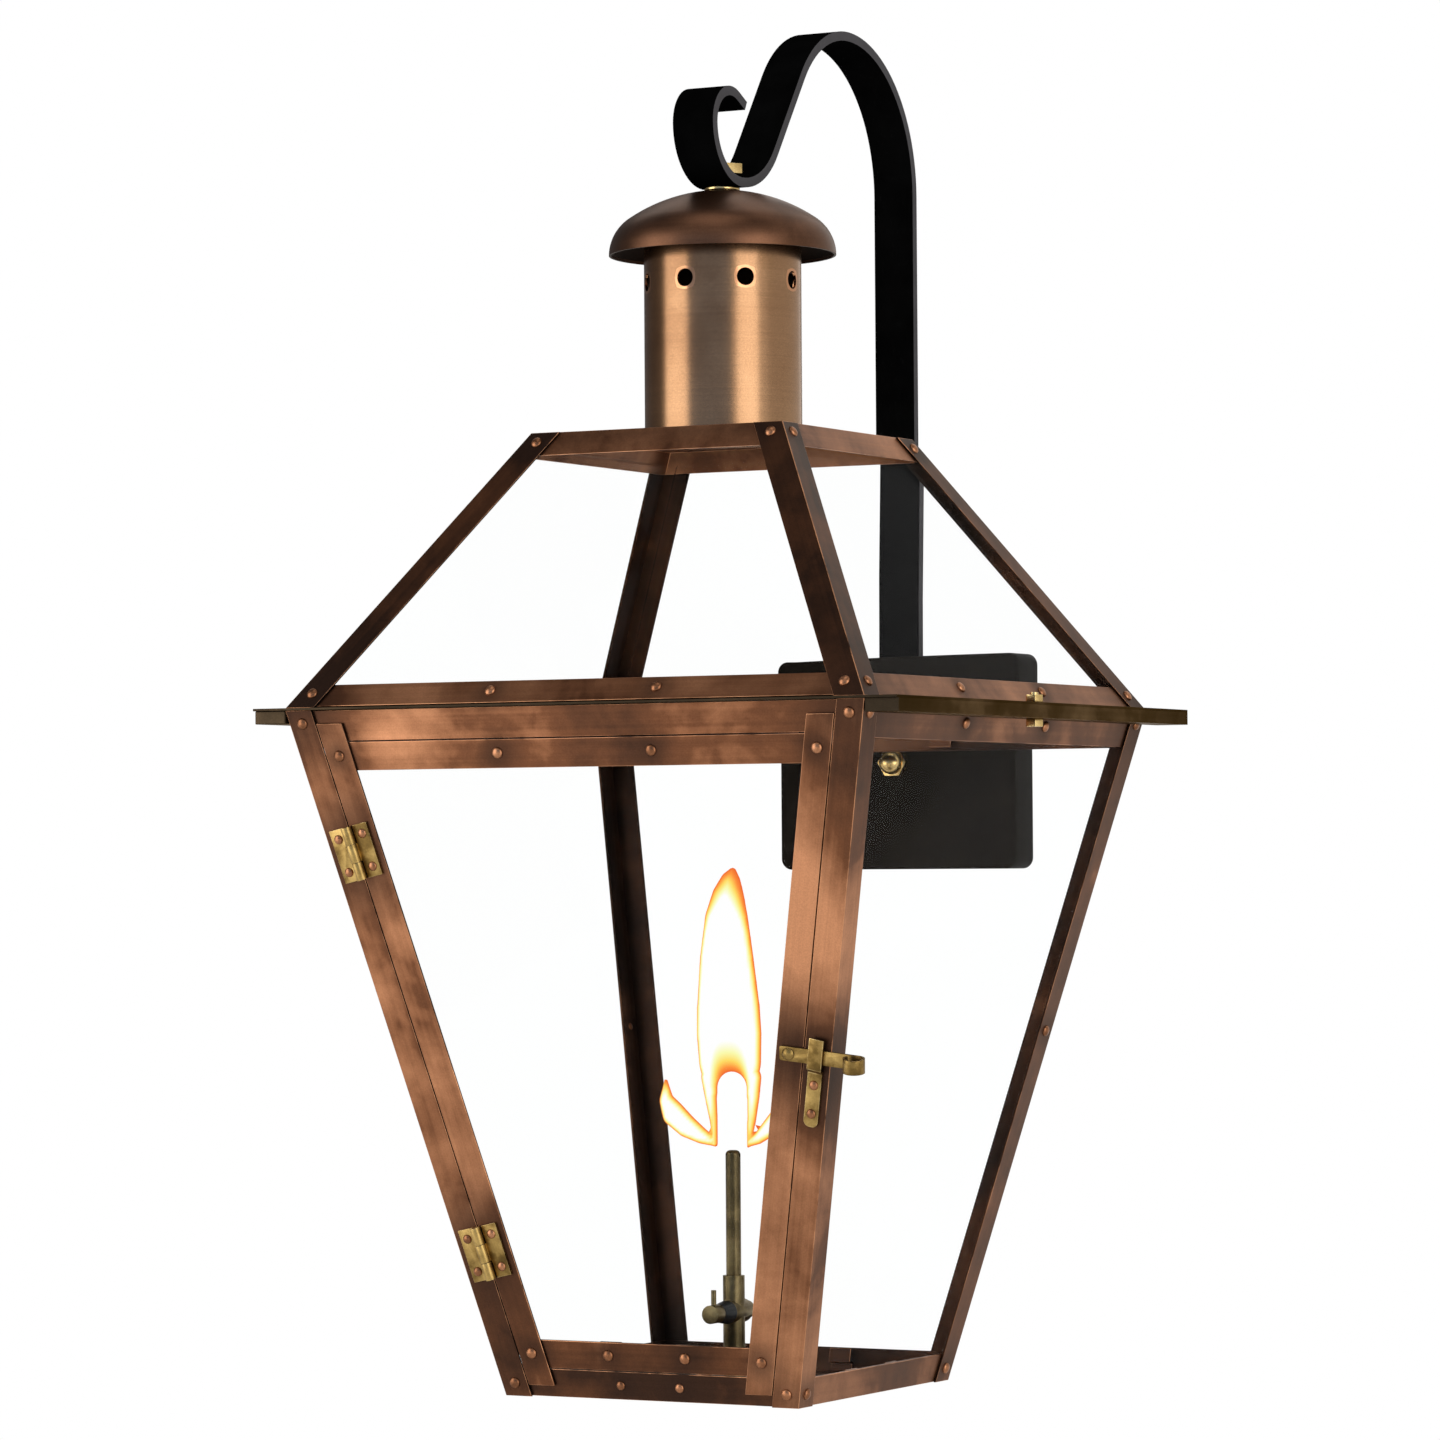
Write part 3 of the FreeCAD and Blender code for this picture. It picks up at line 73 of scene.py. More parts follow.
def pointsOf(node):
    return [vertex.co.copy() for vertex in nodes[node].data.vertices]


def middleOf(points):
    return sum(points, Vector()) / len(points)


def levelOf(node, top):
    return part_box(node)[1].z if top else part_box(node)[0].z


def edgeAt(node, top, within=1e-5):
    # how far left a node reaches at its highest or lowest level
    level = levelOf(node, top)
    return -min(point.x for point in pointsOf(node) if abs(point.z - level) < within)


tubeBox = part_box("chimney_tube")
axisY = (tubeBox[0].y + tubeBox[1].y) / 2
sideTurns = {"front": 0, "right": 90, "back": 180, "left": 270}


class Slope:
    # one flank of the body or the roof, from its corner: u across from the middle, v up the slope
    def __init__(self, node):
        self.low = edgeAt(node, False)
        self.lowZ = levelOf(node, False)
        self.highZ = levelOf(node, True)
        self.lean = (edgeAt(node, True) - self.low) / (self.highZ - self.lowZ)
        self.secant = math.hypot(1, self.lean)
        self.top = self.upTo(self.highZ)
        self.rate = self.lean / self.secant

    def upTo(self, z):
        return (z - self.lowZ) * self.secant

    def across(self, v, inset):
        return self.low + self.rate * v - inset * math.hypot(1, self.rate)

    def inset(self, u, v):
        return (self.low + self.rate * v - abs(u)) / math.hypot(1, self.rate)

    def spot(self, side, u, v, lift=0.0):
        up = Vector((0, -self.lean, 1)) / self.secant
        out = xWay.cross(up)
        place = Vector((u, -self.low, 0)) + up * v + out * lift
        turn = Matrix.Rotation(math.radians(sideTurns[side]), 3, "Z")
        return turn @ place + Vector((0, axisY, self.lowZ)), turn @ out


flank = Slope("corner_post_front_left")
roof = Slope("roof_hip_front_left")
bottomZ = flank.lowZ


# Shader helpers

def addNode(tree, kind, values=None, **settings):
    node = tree.nodes.new(kind)
    for name, value in settings.items():
        setattr(node, name, value)
    for socket, value in (values or {}).items():
        if isinstance(value, bpy.types.NodeSocket):
            tree.links.new(value, node.inputs[socket])
        else:
            node.inputs[socket].default_value = value
    return node


def mathNode(tree, operation, a, b=0.0, c=0.0, clamp=False):
    values = {0: a, 1: b, 2: c}
    node = addNode(tree, "ShaderNodeMath", values, operation=operation, use_clamp=clamp)
    return node.outputs[0]


def mixColour(tree, share, a, b, blend="MIX"):
    values = {0: share, 6: a, 7: b}
    node = addNode(tree, "ShaderNodeMix", values, data_type="RGBA", blend_type=blend)
    return node.outputs[2]


def spread(tree, value, low, high, toLow=0.0, toHigh=1.0):
    values = {0: value, 1: low, 2: high, 3: toLow, 4: toHigh}
    return addNode(tree, "ShaderNodeMapRange", values, clamp=True).outputs[0]


def noiseAt(tree, vector, scale, detail=3.0, roughness=0.55, distortion=0.0):
    values = {"Vector": vector, "Scale": scale, "Detail": detail,
              "Roughness": roughness, "Distortion": distortion}
    return addNode(tree, "ShaderNodeTexNoise", values).outputs[0]


def feed(node, label, value):
    node.id_data.links.new(value, node.inputs[label])


def attribute(tree, name, kind="Fac"):
    return addNode(tree, "ShaderNodeAttribute", attribute_name=name).outputs[kind]


def objectPlace(tree):
    return addNode(tree, "ShaderNodeTexCoord").outputs["Object"]


def addSockets(tree, inputs, outputs):
    for way, sockets in (("INPUT", inputs), ("OUTPUT", outputs)):
        for label, kind in sockets.items():
            tree.interface.new_socket(label, in_out=way, socket_type="NodeSocket" + kind)
    return addNode(tree, "NodeGroupInput").outputs


grainPlan = {"fine": (4.0, 0.6), "streak": (2.0, 0.5), "shrink": 0.23}


def makeBrushedGrain():
    # fine lines along a strip, from its own (along, across, through) coordinates
    tree = bpy.data.node_groups.new("brushedGrain", "ShaderNodeTree")
    given = addSockets(
        tree, {"Place": "Vector", "Fineness": "Float", "Length": "Float"},
        {"Grain": "Float", "Streak": "Float"},
    )
    parts = addNode(tree, "ShaderNodeSeparateXYZ", {0: given["Place"]}).outputs
    scaled = {
        axis: mathNode(tree, "MULTIPLY", parts[axis], given[scale])
        for axis, scale in enumerate(("Length", "Fineness", "Fineness"))
    }
    fine = addNode(tree, "ShaderNodeCombineXYZ", scaled).outputs[0]
    shrink = {0: fine, 3: grainPlan["shrink"]}
    broad = addNode(tree, "ShaderNodeVectorMath", shrink, operation="SCALE").outputs[0]
    addNode(tree, "NodeGroupOutput", {
        "Grain": noiseAt(tree, fine, 1.0, *grainPlan["fine"]),
        "Streak": noiseAt(tree, broad, 1.0, *grainPlan["streak"]),
    })
    return tree


# Ranges are (from, to) or (from, to, new from, new to); noises are (detail, roughness, distortion)
agePlan = {
    "cloud": (4.0, 0.55, 0.4), "patch": (3.0, 0.6, 0.3), "patchScale": 3.7,
    "fleck": (2.0, 0.6), "fleckScale": 1300.0, "fleckHeight": 0.3,
    "cloudShare": 0.76, "patchShare": 0.24, "streakShare": 0.12,
    "light": (0.46, 0.74), "dark": (0.5, 0.27), "darkShare": 0.9,
    "smoke": (0.2, 0.6, 0.65, 1.0), "soot": (0.3, 0.62, 1.0, 0.62),
    "grainShade": (0.3, 0.7, 0.93, 1.06), "fleckShade": (0.3, 0.7, 0.9, 1.1),
    "rub": (0.35, 0.55), "rubShare": 0.7,
    "rough": 0.34, "grainRough": 0.08, "smokeRough": 0.12, "sootRough": 0.2, "rubRough": -0.1,
}
ageMarks = {"Halo": "halo", "Edge": "edgeWear", "Inside": "inside", "ToneWearAndPaintedLight": "toneWearAndPaintedLight"}
ageColours = ("Dark", "Middle", "Light", "Bare", "Soot")


def makeAgedMetal():
    # patina in blotches, dark smoke in the halo, bright metal where edges rub
    tree = bpy.data.node_groups.new("agedMetal", "ShaderNodeTree")
    inputs = {"Place": "Vector"}
    inputs.update(dict.fromkeys(("Grain", "Streak", "Blotch", *ageMarks), "Float"))
    inputs.update(dict.fromkeys(ageColours, "Color"))
    given = addSockets(tree, inputs, {"Color": "Color", "Roughness": "Float", "Height": "Float"})

    def times(a, b, add=0.0, clamp=False):
        return mathNode(tree, "MULTIPLY_ADD", a, b, add, clamp)

    def within(value, label):
        return spread(tree, value, *agePlan[label])

    place, grain = given["Place"], given["Grain"]
    cloud = noiseAt(tree, place, given["Blotch"], *agePlan["cloud"])
    patchScale = times(given["Blotch"], agePlan["patchScale"])
    patch = noiseAt(tree, place, patchScale, *agePlan["patch"])
    fleck = noiseAt(tree, place, agePlan["fleckScale"], *agePlan["fleck"])
    worn = times(cloud, agePlan["cloudShare"], times(patch, agePlan["patchShare"]))
    streak = times(given["Streak"], agePlan["streakShare"], -0.5 * agePlan["streakShare"])
    # tones, wear, painted highlights and painted shade shift the patina lighter or darker here
    worn = mathNode(tree, "ADD", mathNode(tree, "ADD", worn, streak), given["ToneWearAndPaintedLight"])
    colour = mixColour(tree, within(worn, "light"), given["Middle"], given["Light"])
    dark = times(within(worn, "dark"), agePlan["darkShare"])
    colour = mixColour(tree, dark, colour, given["Dark"])
    smoke = times(given["Halo"], within(patch, "smoke"), clamp=True)
    colour = mixColour(tree, smoke, colour, given["Dark"])
    shade = times(within(grain, "grainShade"), within(fleck, "fleckShade"))
    tint = addNode(tree, "ShaderNodeCombineColor", {0: shade, 1: shade, 2: shade}).outputs[0]
    colour = mixColour(tree, 1.0, colour, tint, "MULTIPLY")
    rub = times(given["Edge"], within(patch, "rub"), clamp=True)
    rub = times(rub, mathNode(tree, "SUBTRACT", 1.0, given["Inside"]), clamp=True)
    colour = mixColour(tree, times(rub, agePlan["rubShare"]), colour, given["Bare"])
    sooty = times(given["Inside"], within(cloud, "soot"), clamp=True)
    rough = agePlan["rough"]
    for share, label in (
        (grain, "grainRough"), (smoke, "smokeRough"), (sooty, "sootRough"), (rub, "rubRough"),
    ):
        rough = times(share, agePlan[label], rough)
    addNode(tree, "NodeGroupOutput", {
        "Color": mixColour(tree, sooty, colour, given["Soot"]), "Roughness": rough,
        "Height": times(fleck, agePlan["fleckHeight"], grain),
    })
    return tree


brushedGrain = makeBrushedGrain()
agedMetal = makeAgedMetal()


def newMaterial(name, colour, metallic, roughness, sockets=None):
    material = bpy.data.materials.new(name)
    material.use_nodes = True
    material.diffuse_color = (*colour, 1)
    shader = material.node_tree.nodes["Principled BSDF"]
    values = {"Base Color": (*colour, 1), "Metallic": metallic, "Roughness": roughness}
    for label, value in {**values, **(sockets or {})}.items():
        shader.inputs[label].default_value = value
    return material, material.node_tree, shader


def useGroup(tree, group, values):
    return addNode(tree, "ShaderNodeGroup", values, node_tree=group).outputs


def bumpFrom(tree, shader, height, strength, distance=0.0002):
    values = {"Height": height, "Strength": strength, "Distance": distance}
    bump = addNode(tree, "ShaderNodeBump", values)
    feed(shader, "Normal", bump.outputs[0])


def agedMaterial(name, look, marked=True, plainRough=0.4):
    # marked pieces carry grain, halo, edge and inside marks, and tones with painted highlights and shade; others
    # use plain object places
    material, tree, shader = newMaterial(
        name, look["Middle"], look["metallic"], plainRough,
        {"Specular Tint": (*look["glance"], 1)},
    )
    place = objectPlace(tree)
    lines = useGroup(tree, brushedGrain, {
        "Place": attribute(tree, "grainPlace", "Vector") if marked else place,
        "Fineness": look["fineness"], "Length": look["length"],
    })
    plain = 0.5 - 0.5 * look["streak"]
    streak = mathNode(tree, "MULTIPLY_ADD", lines["Streak"], look["streak"], plain)
    values = {"Place": place, "Grain": lines["Grain"], "Streak": streak, "Blotch": look["Blotch"]}
    if marked:
        values.update((label, attribute(tree, name)) for label, name in ageMarks.items())
    values.update((label, (*look[label], 1)) for label in ageColours)
    metal = useGroup(tree, agedMetal, values)
    feed(shader, "Base Color", metal["Color"])
    rough = mathNode(tree, "ADD", metal["Roughness"], look["rough"])
    feed(shader, "Roughness", rough)
    bumpFrom(tree, shader, metal["Height"], look["bump"])
    return material


copperLook = {
    "Dark": (0.03, 0.016, 0.011), "Middle": (0.155, 0.06, 0.027),
    "Light": (0.5, 0.225, 0.11), "Bare": (0.72, 0.34, 0.17),
    "Soot": (0.013, 0.009, 0.007), "Blotch": 13.0, "fineness": 1100.0, "length": 9.0,
    "metallic": 0.97, "rough": 0.0, "bump": 0.08, "glance": (1.0, 0.95, 0.9), "streak": 1.0,
}
chimneyLook = dict(
    copperLook, Dark=(0.15, 0.07, 0.034), Middle=(0.305, 0.162, 0.08),
    Light=(0.42, 0.245, 0.13), Blotch=9.0, fineness=2400.0, length=4.0, rough=-0.15,
    metallic=1.0, bump=0.04, streak=0.35,
)
capLook = dict(
    copperLook, Dark=(0.036, 0.017, 0.01), Middle=(0.1, 0.046, 0.025),
    Light=(0.19, 0.088, 0.048), Blotch=11.0, fineness=700.0, length=40.0, streak=0.4,
    metallic=1.0,
)
railLook = dict(
    copperLook, Dark=(0.024, 0.017, 0.01), Middle=(0.066, 0.044, 0.026),
    Light=(0.18, 0.118, 0.064), Bare=(0.35, 0.25, 0.13), Blotch=22.0, metallic=1.0,
    glance=(0.62, 0.51, 0.41),
)
rivetLook = dict(
    copperLook, Dark=(0.07, 0.03, 0.015), Middle=(0.31, 0.13, 0.06),
    Light=(0.57, 0.27, 0.14), Blotch=60.0, fineness=300.0, length=300.0, rough=-0.04,
)
brassLook = dict(
    copperLook, Dark=(0.045, 0.027, 0.009), Middle=(0.2, 0.122, 0.034),
    Light=(0.5, 0.335, 0.112), Bare=(0.78, 0.58, 0.26), Soot=(0.05, 0.035, 0.015),
    Blotch=70.0, fineness=900.0, length=60.0,
)
burnerLook = dict(
    brassLook, Dark=(0.035, 0.028, 0.014), Middle=(0.115, 0.085, 0.04),
    Light=(0.27, 0.21, 0.1), Blotch=45.0,
)
polishedLook = dict(
    brassLook, Dark=(0.26, 0.16, 0.05), Middle=(0.62, 0.43, 0.17),
    Light=(0.8, 0.61, 0.29), rough=-0.12, bump=0.04, metallic=1.0,
)
copperMaterial = agedMaterial("agedCopper", copperLook)
railMaterial = agedMaterial("darkRail", railLook)
chimneyMaterial = agedMaterial("chimneyCopper", chimneyLook)
capMaterial = agedMaterial("capCopper", capLook)
rivetMaterial = agedMaterial("rivetCopper", rivetLook, False)
brassMaterial = agedMaterial("agedBrass", brassLook)
burnerMaterial = agedMaterial("burnerBrass", burnerLook)
polishedMaterial = agedMaterial("polishedBrass", polishedLook)

blackPlan = {
    "shade": (38.0, 4.0, 0.6), "grit": (1300.0, 2.0, 0.5), "mottled": (0.35, 0.7),
    "sawn": (0.2, 0.6, 0.75, 1.0), "gritty": (0.2, 0.8), "smoother": 0.06, "rougher": 0.08,
    "bump": 0.08,
}
blackLooks = {
    "blackIron": {
        "face": (0.0012, 0.0012, 0.0012, 1), "mottle": (0.0025, 0.0025, 0.0025, 1),
        "cut": (0.08, 0.076, 0.079, 1), "rough": 0.55, "sheen": 0.0,
    },
    "blackPlate": {
        "face": (0.0075, 0.0055, 0.0035, 1), "mottle": (0.012, 0.009, 0.006, 1),
        "rough": 0.55, "sheen": 0.03,
    },
    "blackGland": {
        "face": (0.006, 0.007, 0.008, 1), "mottle": (0.012, 0.013, 0.014, 1),
        "rough": 0.38, "sheen": 0.3,
    },
}


def makeBlack(name):
    # black finish; a bar's sawn edges show a little grey
    look = blackLooks[name]
    rough = look["rough"]
    material, tree, shader = newMaterial(
        name, look["face"][:3], 0.0, rough, {"Specular IOR Level": look["sheen"]}
    )
    place = objectPlace(tree)
    shade = noiseAt(tree, place, *blackPlan["shade"])
    grit = noiseAt(tree, place, *blackPlan["grit"])
    mottled = spread(tree, shade, *blackPlan["mottled"])
    colour = mixColour(tree, mottled, look["face"], look["mottle"])
    if "cut" in look:
        sawn = spread(tree, shade, *blackPlan["sawn"])
        edge = mathNode(tree, "MULTIPLY", attribute(tree, "cutEdge"), sawn)
        colour = mixColour(tree, edge, colour, look["cut"])
    feed(shader, "Base Color", colour)
    roughRange = (rough - blackPlan["smoother"], rough + blackPlan["rougher"])
    uneven = spread(tree, grit, *blackPlan["gritty"], *roughRange)
    feed(shader, "Roughness", uneven)
    bumpFrom(tree, shader, grit, blackPlan["bump"])
    return material


ironMaterial = makeBlack("blackIron")
plateMaterial = makeBlack("blackPlate")
glandMaterial = makeBlack("blackGland")

steelLook = {
    "colour": (0.45, 0.45, 0.44), "metallic": 1.0, "rough": 0.35, "scale": 240.0, "detail": 4.0,
    "uneven": (0.3, 0.7, 0.28, 0.46),
}


def makeUneven(name, look):
    # one colour, with a roughness that varies a little
    material, tree, shader = newMaterial(name, look["colour"], look["metallic"], look["rough"])
    grain = noiseAt(tree, objectPlace(tree), look["scale"], look["detail"])
    feed(shader, "Roughness", spread(tree, grain, *look["uneven"]))
    return material


steelMaterial = makeUneven("platedSteel", steelLook)
glassPlan = {"tint": (0.997, 1.0, 0.999), "bend": 1.035}


def makeGlass():
    # clear panes; light between other surfaces goes straight through them
    material, tree, shader = newMaterial(
        "clearGlass", glassPlan["tint"], 0.0, 0.0, {"IOR": glassPlan["bend"]}
    )
    shader.inputs["Transmission Weight"].default_value = 1.0
    path = addNode(tree, "ShaderNodeLightPath").outputs
    straight = mathNode(
        tree, "SUBTRACT", path["Is Glossy Ray"], path["Is Transmission Ray"], clamp=True
    )
    for label in ("Is Diffuse Ray", "Is Shadow Ray"):
        straight = mathNode(tree, "MAXIMUM", straight, path[label])
    clear = addNode(tree, "ShaderNodeBsdfTransparent")
    mix = addNode(tree, "ShaderNodeMixShader", {
        0: straight, 1: shader.outputs[0], 2: clear.outputs[0],
    })
    feed(tree.nodes["Material Output"], "Surface", mix.outputs[0])
    return material


glassMaterial = makeGlass()
glowStops = [
    (0.0, (0.86, 0.14, 0.03, 1)), (0.14, (1.0, 0.3, 0.05, 1)), (0.34, (1.0, 0.72, 0.13, 1)),
    (0.58, (0.96, 0.96, 0.42, 1)), (0.92, (1.0, 1.0, 1.0, 1)),
]


def makeGlow(name, colour):
    # a dark surface that only glows
    return newMaterial(name, (0.0, 0.0, 0.0), 0.0, 1.0, {
        "Specular IOR Level": 0.0, "Emission Color": colour, "Emission Strength": 1.0,
    })


def makeFlameGlow():
    # white heart, yellow body and an orange rim, by each point's own heat
    material, tree, shader = makeGlow("gasFlame", glowStops[-1][1])
    ramp = addNode(tree, "ShaderNodeValToRGB", {0: attribute(tree, "flameHeat")})
    elements = ramp.color_ramp.elements
    while len(elements) < len(glowStops):
        elements.new(0.5)
    for element, (position, colour) in zip(elements, glowStops):
        element.position = position
        element.color = colour
    feed(shader, "Emission Color", ramp.outputs[0])
    return material


flameMaterial = makeFlameGlow()
print("finishes made")


# Rivets: (spot, direction out, size) for each body, kept while the pieces are dressed

rivetPlan = {
    "size": 0.0029, "small": 0.0024, "postEnd": 0.0068, "postMiddle": 0.52,
    "hipFoot": 0.0085, "hipHead": 0.006, "eaveBand": 0.046, "eaveUp": 0.6, "header": 0.045,
    "headerDown": 0.01, "doorTop": 0.0425, "doorLow": 0.0215, "frontLow": 0.0165,
    "frontSink": 0.0003, "hingeAcross": 0.0072, "hingeAlong": 0.0085, "keeperUp": (0.007, 0.021),
}
stileInsets = [flank.inset(p.x, flank.upTo(p.z)) for p in pointsOf("door_stile_right")]
stripWidth = max(stileInsets) - min(stileInsets)
stileMiddle = (max(stileInsets) + min(stileInsets)) / 2
legMiddle = stripWidth / 2
sheet = levelOf("eave_plate", True) - levelOf("eave_plate", False)
rivets = {"lantern": [], "door": []}


def addRivet(body, slope, side, u, v, lift=0.0, size=rivetPlan["size"]):
    spot, out = slope.spot(side, u, v, lift)
    rivets[body].append((spot, out, size))


def railUp(node):
    low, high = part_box(node)
    return flank.upTo((low.z + high.z) / 2)


cornerRows = [
    (flank, rivetPlan["postEnd"]), (flank, flank.top - rivetPlan["postEnd"]),
    (roof, rivetPlan["hipFoot"]), (roof, roof.top - rivetPlan["hipHead"]),
]
bandUp = stripWidth * rivetPlan["eaveUp"]
headerUp = flank.top - rivetPlan["headerDown"]
postUp = flank.top * rivetPlan["postMiddle"]
for side in sideTurns:
    for slope, v in cornerRows:
        for hand in hands:
            addRivet("lantern", slope, side, hand * slope.across(v, legMiddle), v)
    for hand in hands:
        addRivet("lantern", roof, side, hand * rivetPlan["eaveBand"], bandUp, -sheet)
        if side != "front":
            addRivet("lantern", flank, side, hand * rivetPlan["header"], headerUp, -sheet)
        if (side, hand) in (("right", 1), ("left", -1)):
            addRivet("lantern", flank, side, hand * flank.across(postUp, legMiddle), postUp)
lowV, topV = railUp("door_bottom_rail"), railUp("door_top_rail")
for v in (lowV, topV):
    for hand in hands:
        addRivet("door", flank, "front", hand * flank.across(v, stileMiddle), v)
for hand in hands:
    addRivet("door", flank, "front", hand * rivetPlan["doorTop"], topV, -sheet)
    addRivet("door", flank, "front", hand * rivetPlan["doorLow"], lowV, -sheet)
    addRivet(
        "lantern", flank, "front", hand * rivetPlan["frontLow"], legMiddle,
        -sheet - rivetPlan["frontSink"], rivetPlan["small"],
    )

# Hinge leaves carry two rivets each, and the keeper two
hingeUp = -Vector(joints["door_swing"]["axis"]).normalized()
faceFoot, faceOut = flank.spot("front", 0, 0)
hingeAcross = hingeUp.cross(faceOut).normalized()
pinSpots = pointsOf("hinge_pins")
pinMiddle = sum(spot.z for spot in pinSpots) / len(pinSpots)
hingeSpots = [
    middleOf([spot for spot in pinSpots if (spot.z > pinMiddle) == upper])
    for upper in (True, False)
]
for spot in hingeSpots:
    away = (spot - faceFoot).dot(faceOut)
    seat = spot - faceOut * (away - sheet)
    for body, hand in (("lantern", -1), ("door", 1)):
        for end in hands:
            place = seat + hingeAcross * rivetPlan["hingeAcross"] * hand
            place = place + hingeUp * rivetPlan["hingeAlong"] * end
            rivets[body].append((place, faceOut, rivetPlan["small"]))
for rise in rivetPlan["keeperUp"]:
    v = flank.upTo(levelOf("latch_keeper", False)) + rise
    u = flank.across(v, legMiddle)
    addRivet("lantern", flank, "front", u, v, sheet, rivetPlan["small"])
print("rivets planned:", {body: len(spots) for body, spots in rivets.items()})


# Smoke gathers round rivets, hinges, the latch and the strips' ends: (reach, strength)

smokePlan = {
    "rivet": (0.016, 0.75), "hinge": (0.05, 0.95), "latch": (0.045, 0.9), "keeper": (0.05, 0.9),
    "keeperShift": (0.02, 0, -0.012), "corner": (0.055, 0.8),
}
latchSpot = Vector(joints["latch_lift"]["pos_m"])
smokeSpots = [(spot, *smokePlan["rivet"]) for body in rivets for spot, out, size in rivets[body]]
smokeSpots += [(spot, *smokePlan["hinge"]) for spot in hingeSpots]
smokeSpots.append((latchSpot, *smokePlan["latch"]))
smokeSpots.append((latchSpot + Vector(smokePlan["keeperShift"]), *smokePlan["keeper"]))
eaveOut = flank.low + flank.lean * (flank.highZ - bottomZ)
for hand in hands:
    for depth in hands:
        corner = Vector((hand * eaveOut, axisY + depth * eaveOut, flank.highZ))
        smokeSpots.append((corner, *smokePlan["corner"]))


def smokeAt(place):
    thick = 0.0
    for spot, reach, strength in smokeSpots:
        gap = (place - spot).length
        if gap < reach:
            fade = 1 - gap / reach
            thick = max(thick, strength * fade * fade * (3 - 2 * fade))
    return thick


# Hands and weather rub some places bright; the spots are partly rubbed wear and partly painted highlight: (side,
# hand, inset, up, reach, strength)

wearAndHighlightPlan = [
    ("front", -1, 0.065, flank.top - 0.006, 0.055, 0.13),
    ("front", -1, 0.055, flank.top - 0.026, 0.03, 0.1),
    ("front", 1, stripWidth * 1.5, 0.285, 0.05, 0.14),
    ("front", 1, stripWidth * 1.4, 0.245, 0.055, 0.2),
    ("front", 1, stripWidth * 1.4, 0.215, 0.045, 0.18),
    ("front", 1, stripWidth * 1.5, 0.105, 0.055, 0.15),
    ("front", 1, stripWidth * 1.5, 0.045, 0.05, 0.12),
    ("front", -1, stripWidth, 0.165, 0.065, 0.05),
    ("right", -1, stripWidth, 0.24, 0.06, 0.1),
    ("back", 1, stripWidth, 0.2, 0.06, 0.1),
    ("left", 1, stripWidth, 0.23, 0.06, 0.12),
    ("left", -1, 0.04, flank.top - 0.008, 0.06, 0.12),
]
wearAndHighlightSpots = [
    (flank.spot(side, hand * flank.across(v, inset), v)[0], reach, strength)
    for side, hand, inset, v, reach, strength in wearAndHighlightPlan
]


def wearAndHighlightAt(place):
    return sum(
        strength * (1 - (place - spot).length_squared / reach ** 2) ** 2
        for spot, reach, strength in wearAndHighlightSpots if (place - spot).length < reach
    )


# Whole pieces differ in tone, by how their names start; the eave plate and the front bottom band are made darker
# as painted shade
pieceTonesAndShade = {
    # eave_plate and bottom_band_front: their darker tones are painted shade under the eave and on the front
    "roof_hip": -0.15, "bottom_band_front": -0.2, "eave_plate": -0.1, "crown_plate": 0.08,
    "header": -0.06, "door_top": -0.08, "door_bottom": -0.08, "roof_eave": 0.04,
    "corner_post": -0.06, "corner_post_back": -0.05, "floor_plate": -0.12,
    "frame_glass": -0.2, "door_glass": -0.2,
}


def toneAndShadeOf(node):
    return sum(toneAndShade for start, toneAndShade in pieceTonesAndShade.items() if node.startswith(start))


# Piece helpers

def linkPiece(name, mesh, body, material, replaced=()):
    piece = bpy.data.objects.new(name, mesh)
    scene.collection.objects.link(piece)
    mesh.materials.clear()
    mesh.materials.append(material)
    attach(piece, body)
    if replaced:
        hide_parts(*replaced)
    return piece


bodies = frame["record"]["behaviour"]["bodies"]
bodyOf = {node: body for body, members in bodies.items() for node in members}


def linkLook(node, mesh, material):
    return linkPiece(node + "_look", mesh, bodyOf[node], material, [node])


def meshFrom(work, name):
    mesh = bpy.data.meshes.new(name)
    work.to_mesh(mesh)
    work.free()
    if "custom_normal" in mesh.attributes:
        mesh.attributes.remove(mesh.attributes["custom_normal"])
    return mesh


def smoothen(mesh, crease):
    mesh.shade_smooth()
    mesh.set_sharp_from_angle(angle=math.radians(crease))


edgePlan = {"weld": 2e-6, "flat": 0.6, "sharp": 35, "segments": 2, "profile": 0.6}


def solidCopy(node):
    # a clean copy of a node's mesh, with its flat faces made whole again
    work = bmesh.new()
    work.from_mesh(nodes[node].data)
    bmesh.ops.remove_doubles(work, verts=work.verts, dist=edgePlan["weld"])
    bmesh.ops.dissolve_limit(
        work, angle_limit=math.radians(edgePlan["flat"]), verts=work.verts, edges=work.edges,
        use_dissolve_boundaries=False,
    )
    return work


def softenEdges(work, width):
    # rounds the sharp edges and marks the new faces as edges that rub
    rubbed = work.faces.layers.float.new("edgeWear")
    sharpest = math.radians(edgePlan["sharp"])
    sharp = [
        edge for edge in work.edges
        if len(edge.link_faces) == 2 and edge.calc_face_angle(0) > sharpest
    ]
    made = bmesh.ops.bevel(
        work, geom=sharp, offset=width, offset_type="OFFSET", segments=edgePlan["segments"],
        profile=edgePlan["profile"], affect="EDGES", clamp_overlap=True,
    )
    for face in work.faces:
        face.smooth = False
    for face in made["faces"]:
        face[rubbed] = 1.0
        face.smooth = True
    return work


def cutAcross(work, direction, step):
    # slices a piece square to a direction, so that marks on its points can fade along it
    reach = [v.co.dot(direction) for v in work.verts]
    low, high = min(reach), max(reach)
    count = int((high - low) / step)
    for index in range(1, count + 1):
        level = low + (high - low) * index / (count + 1)
        everything = work.verts[:] + work.edges[:] + work.faces[:]
        bmesh.ops.bisect_plane(
            work, geom=everything, dist=1e-7, plane_co=direction * level, plane_no=direction
        )


def mark(mesh, name, kind, domain, values):
    layer = mesh.attributes.new(name, kind, domain)
    layer.data.foreach_set("vector" if kind == "FLOAT_VECTOR" else "value", values)


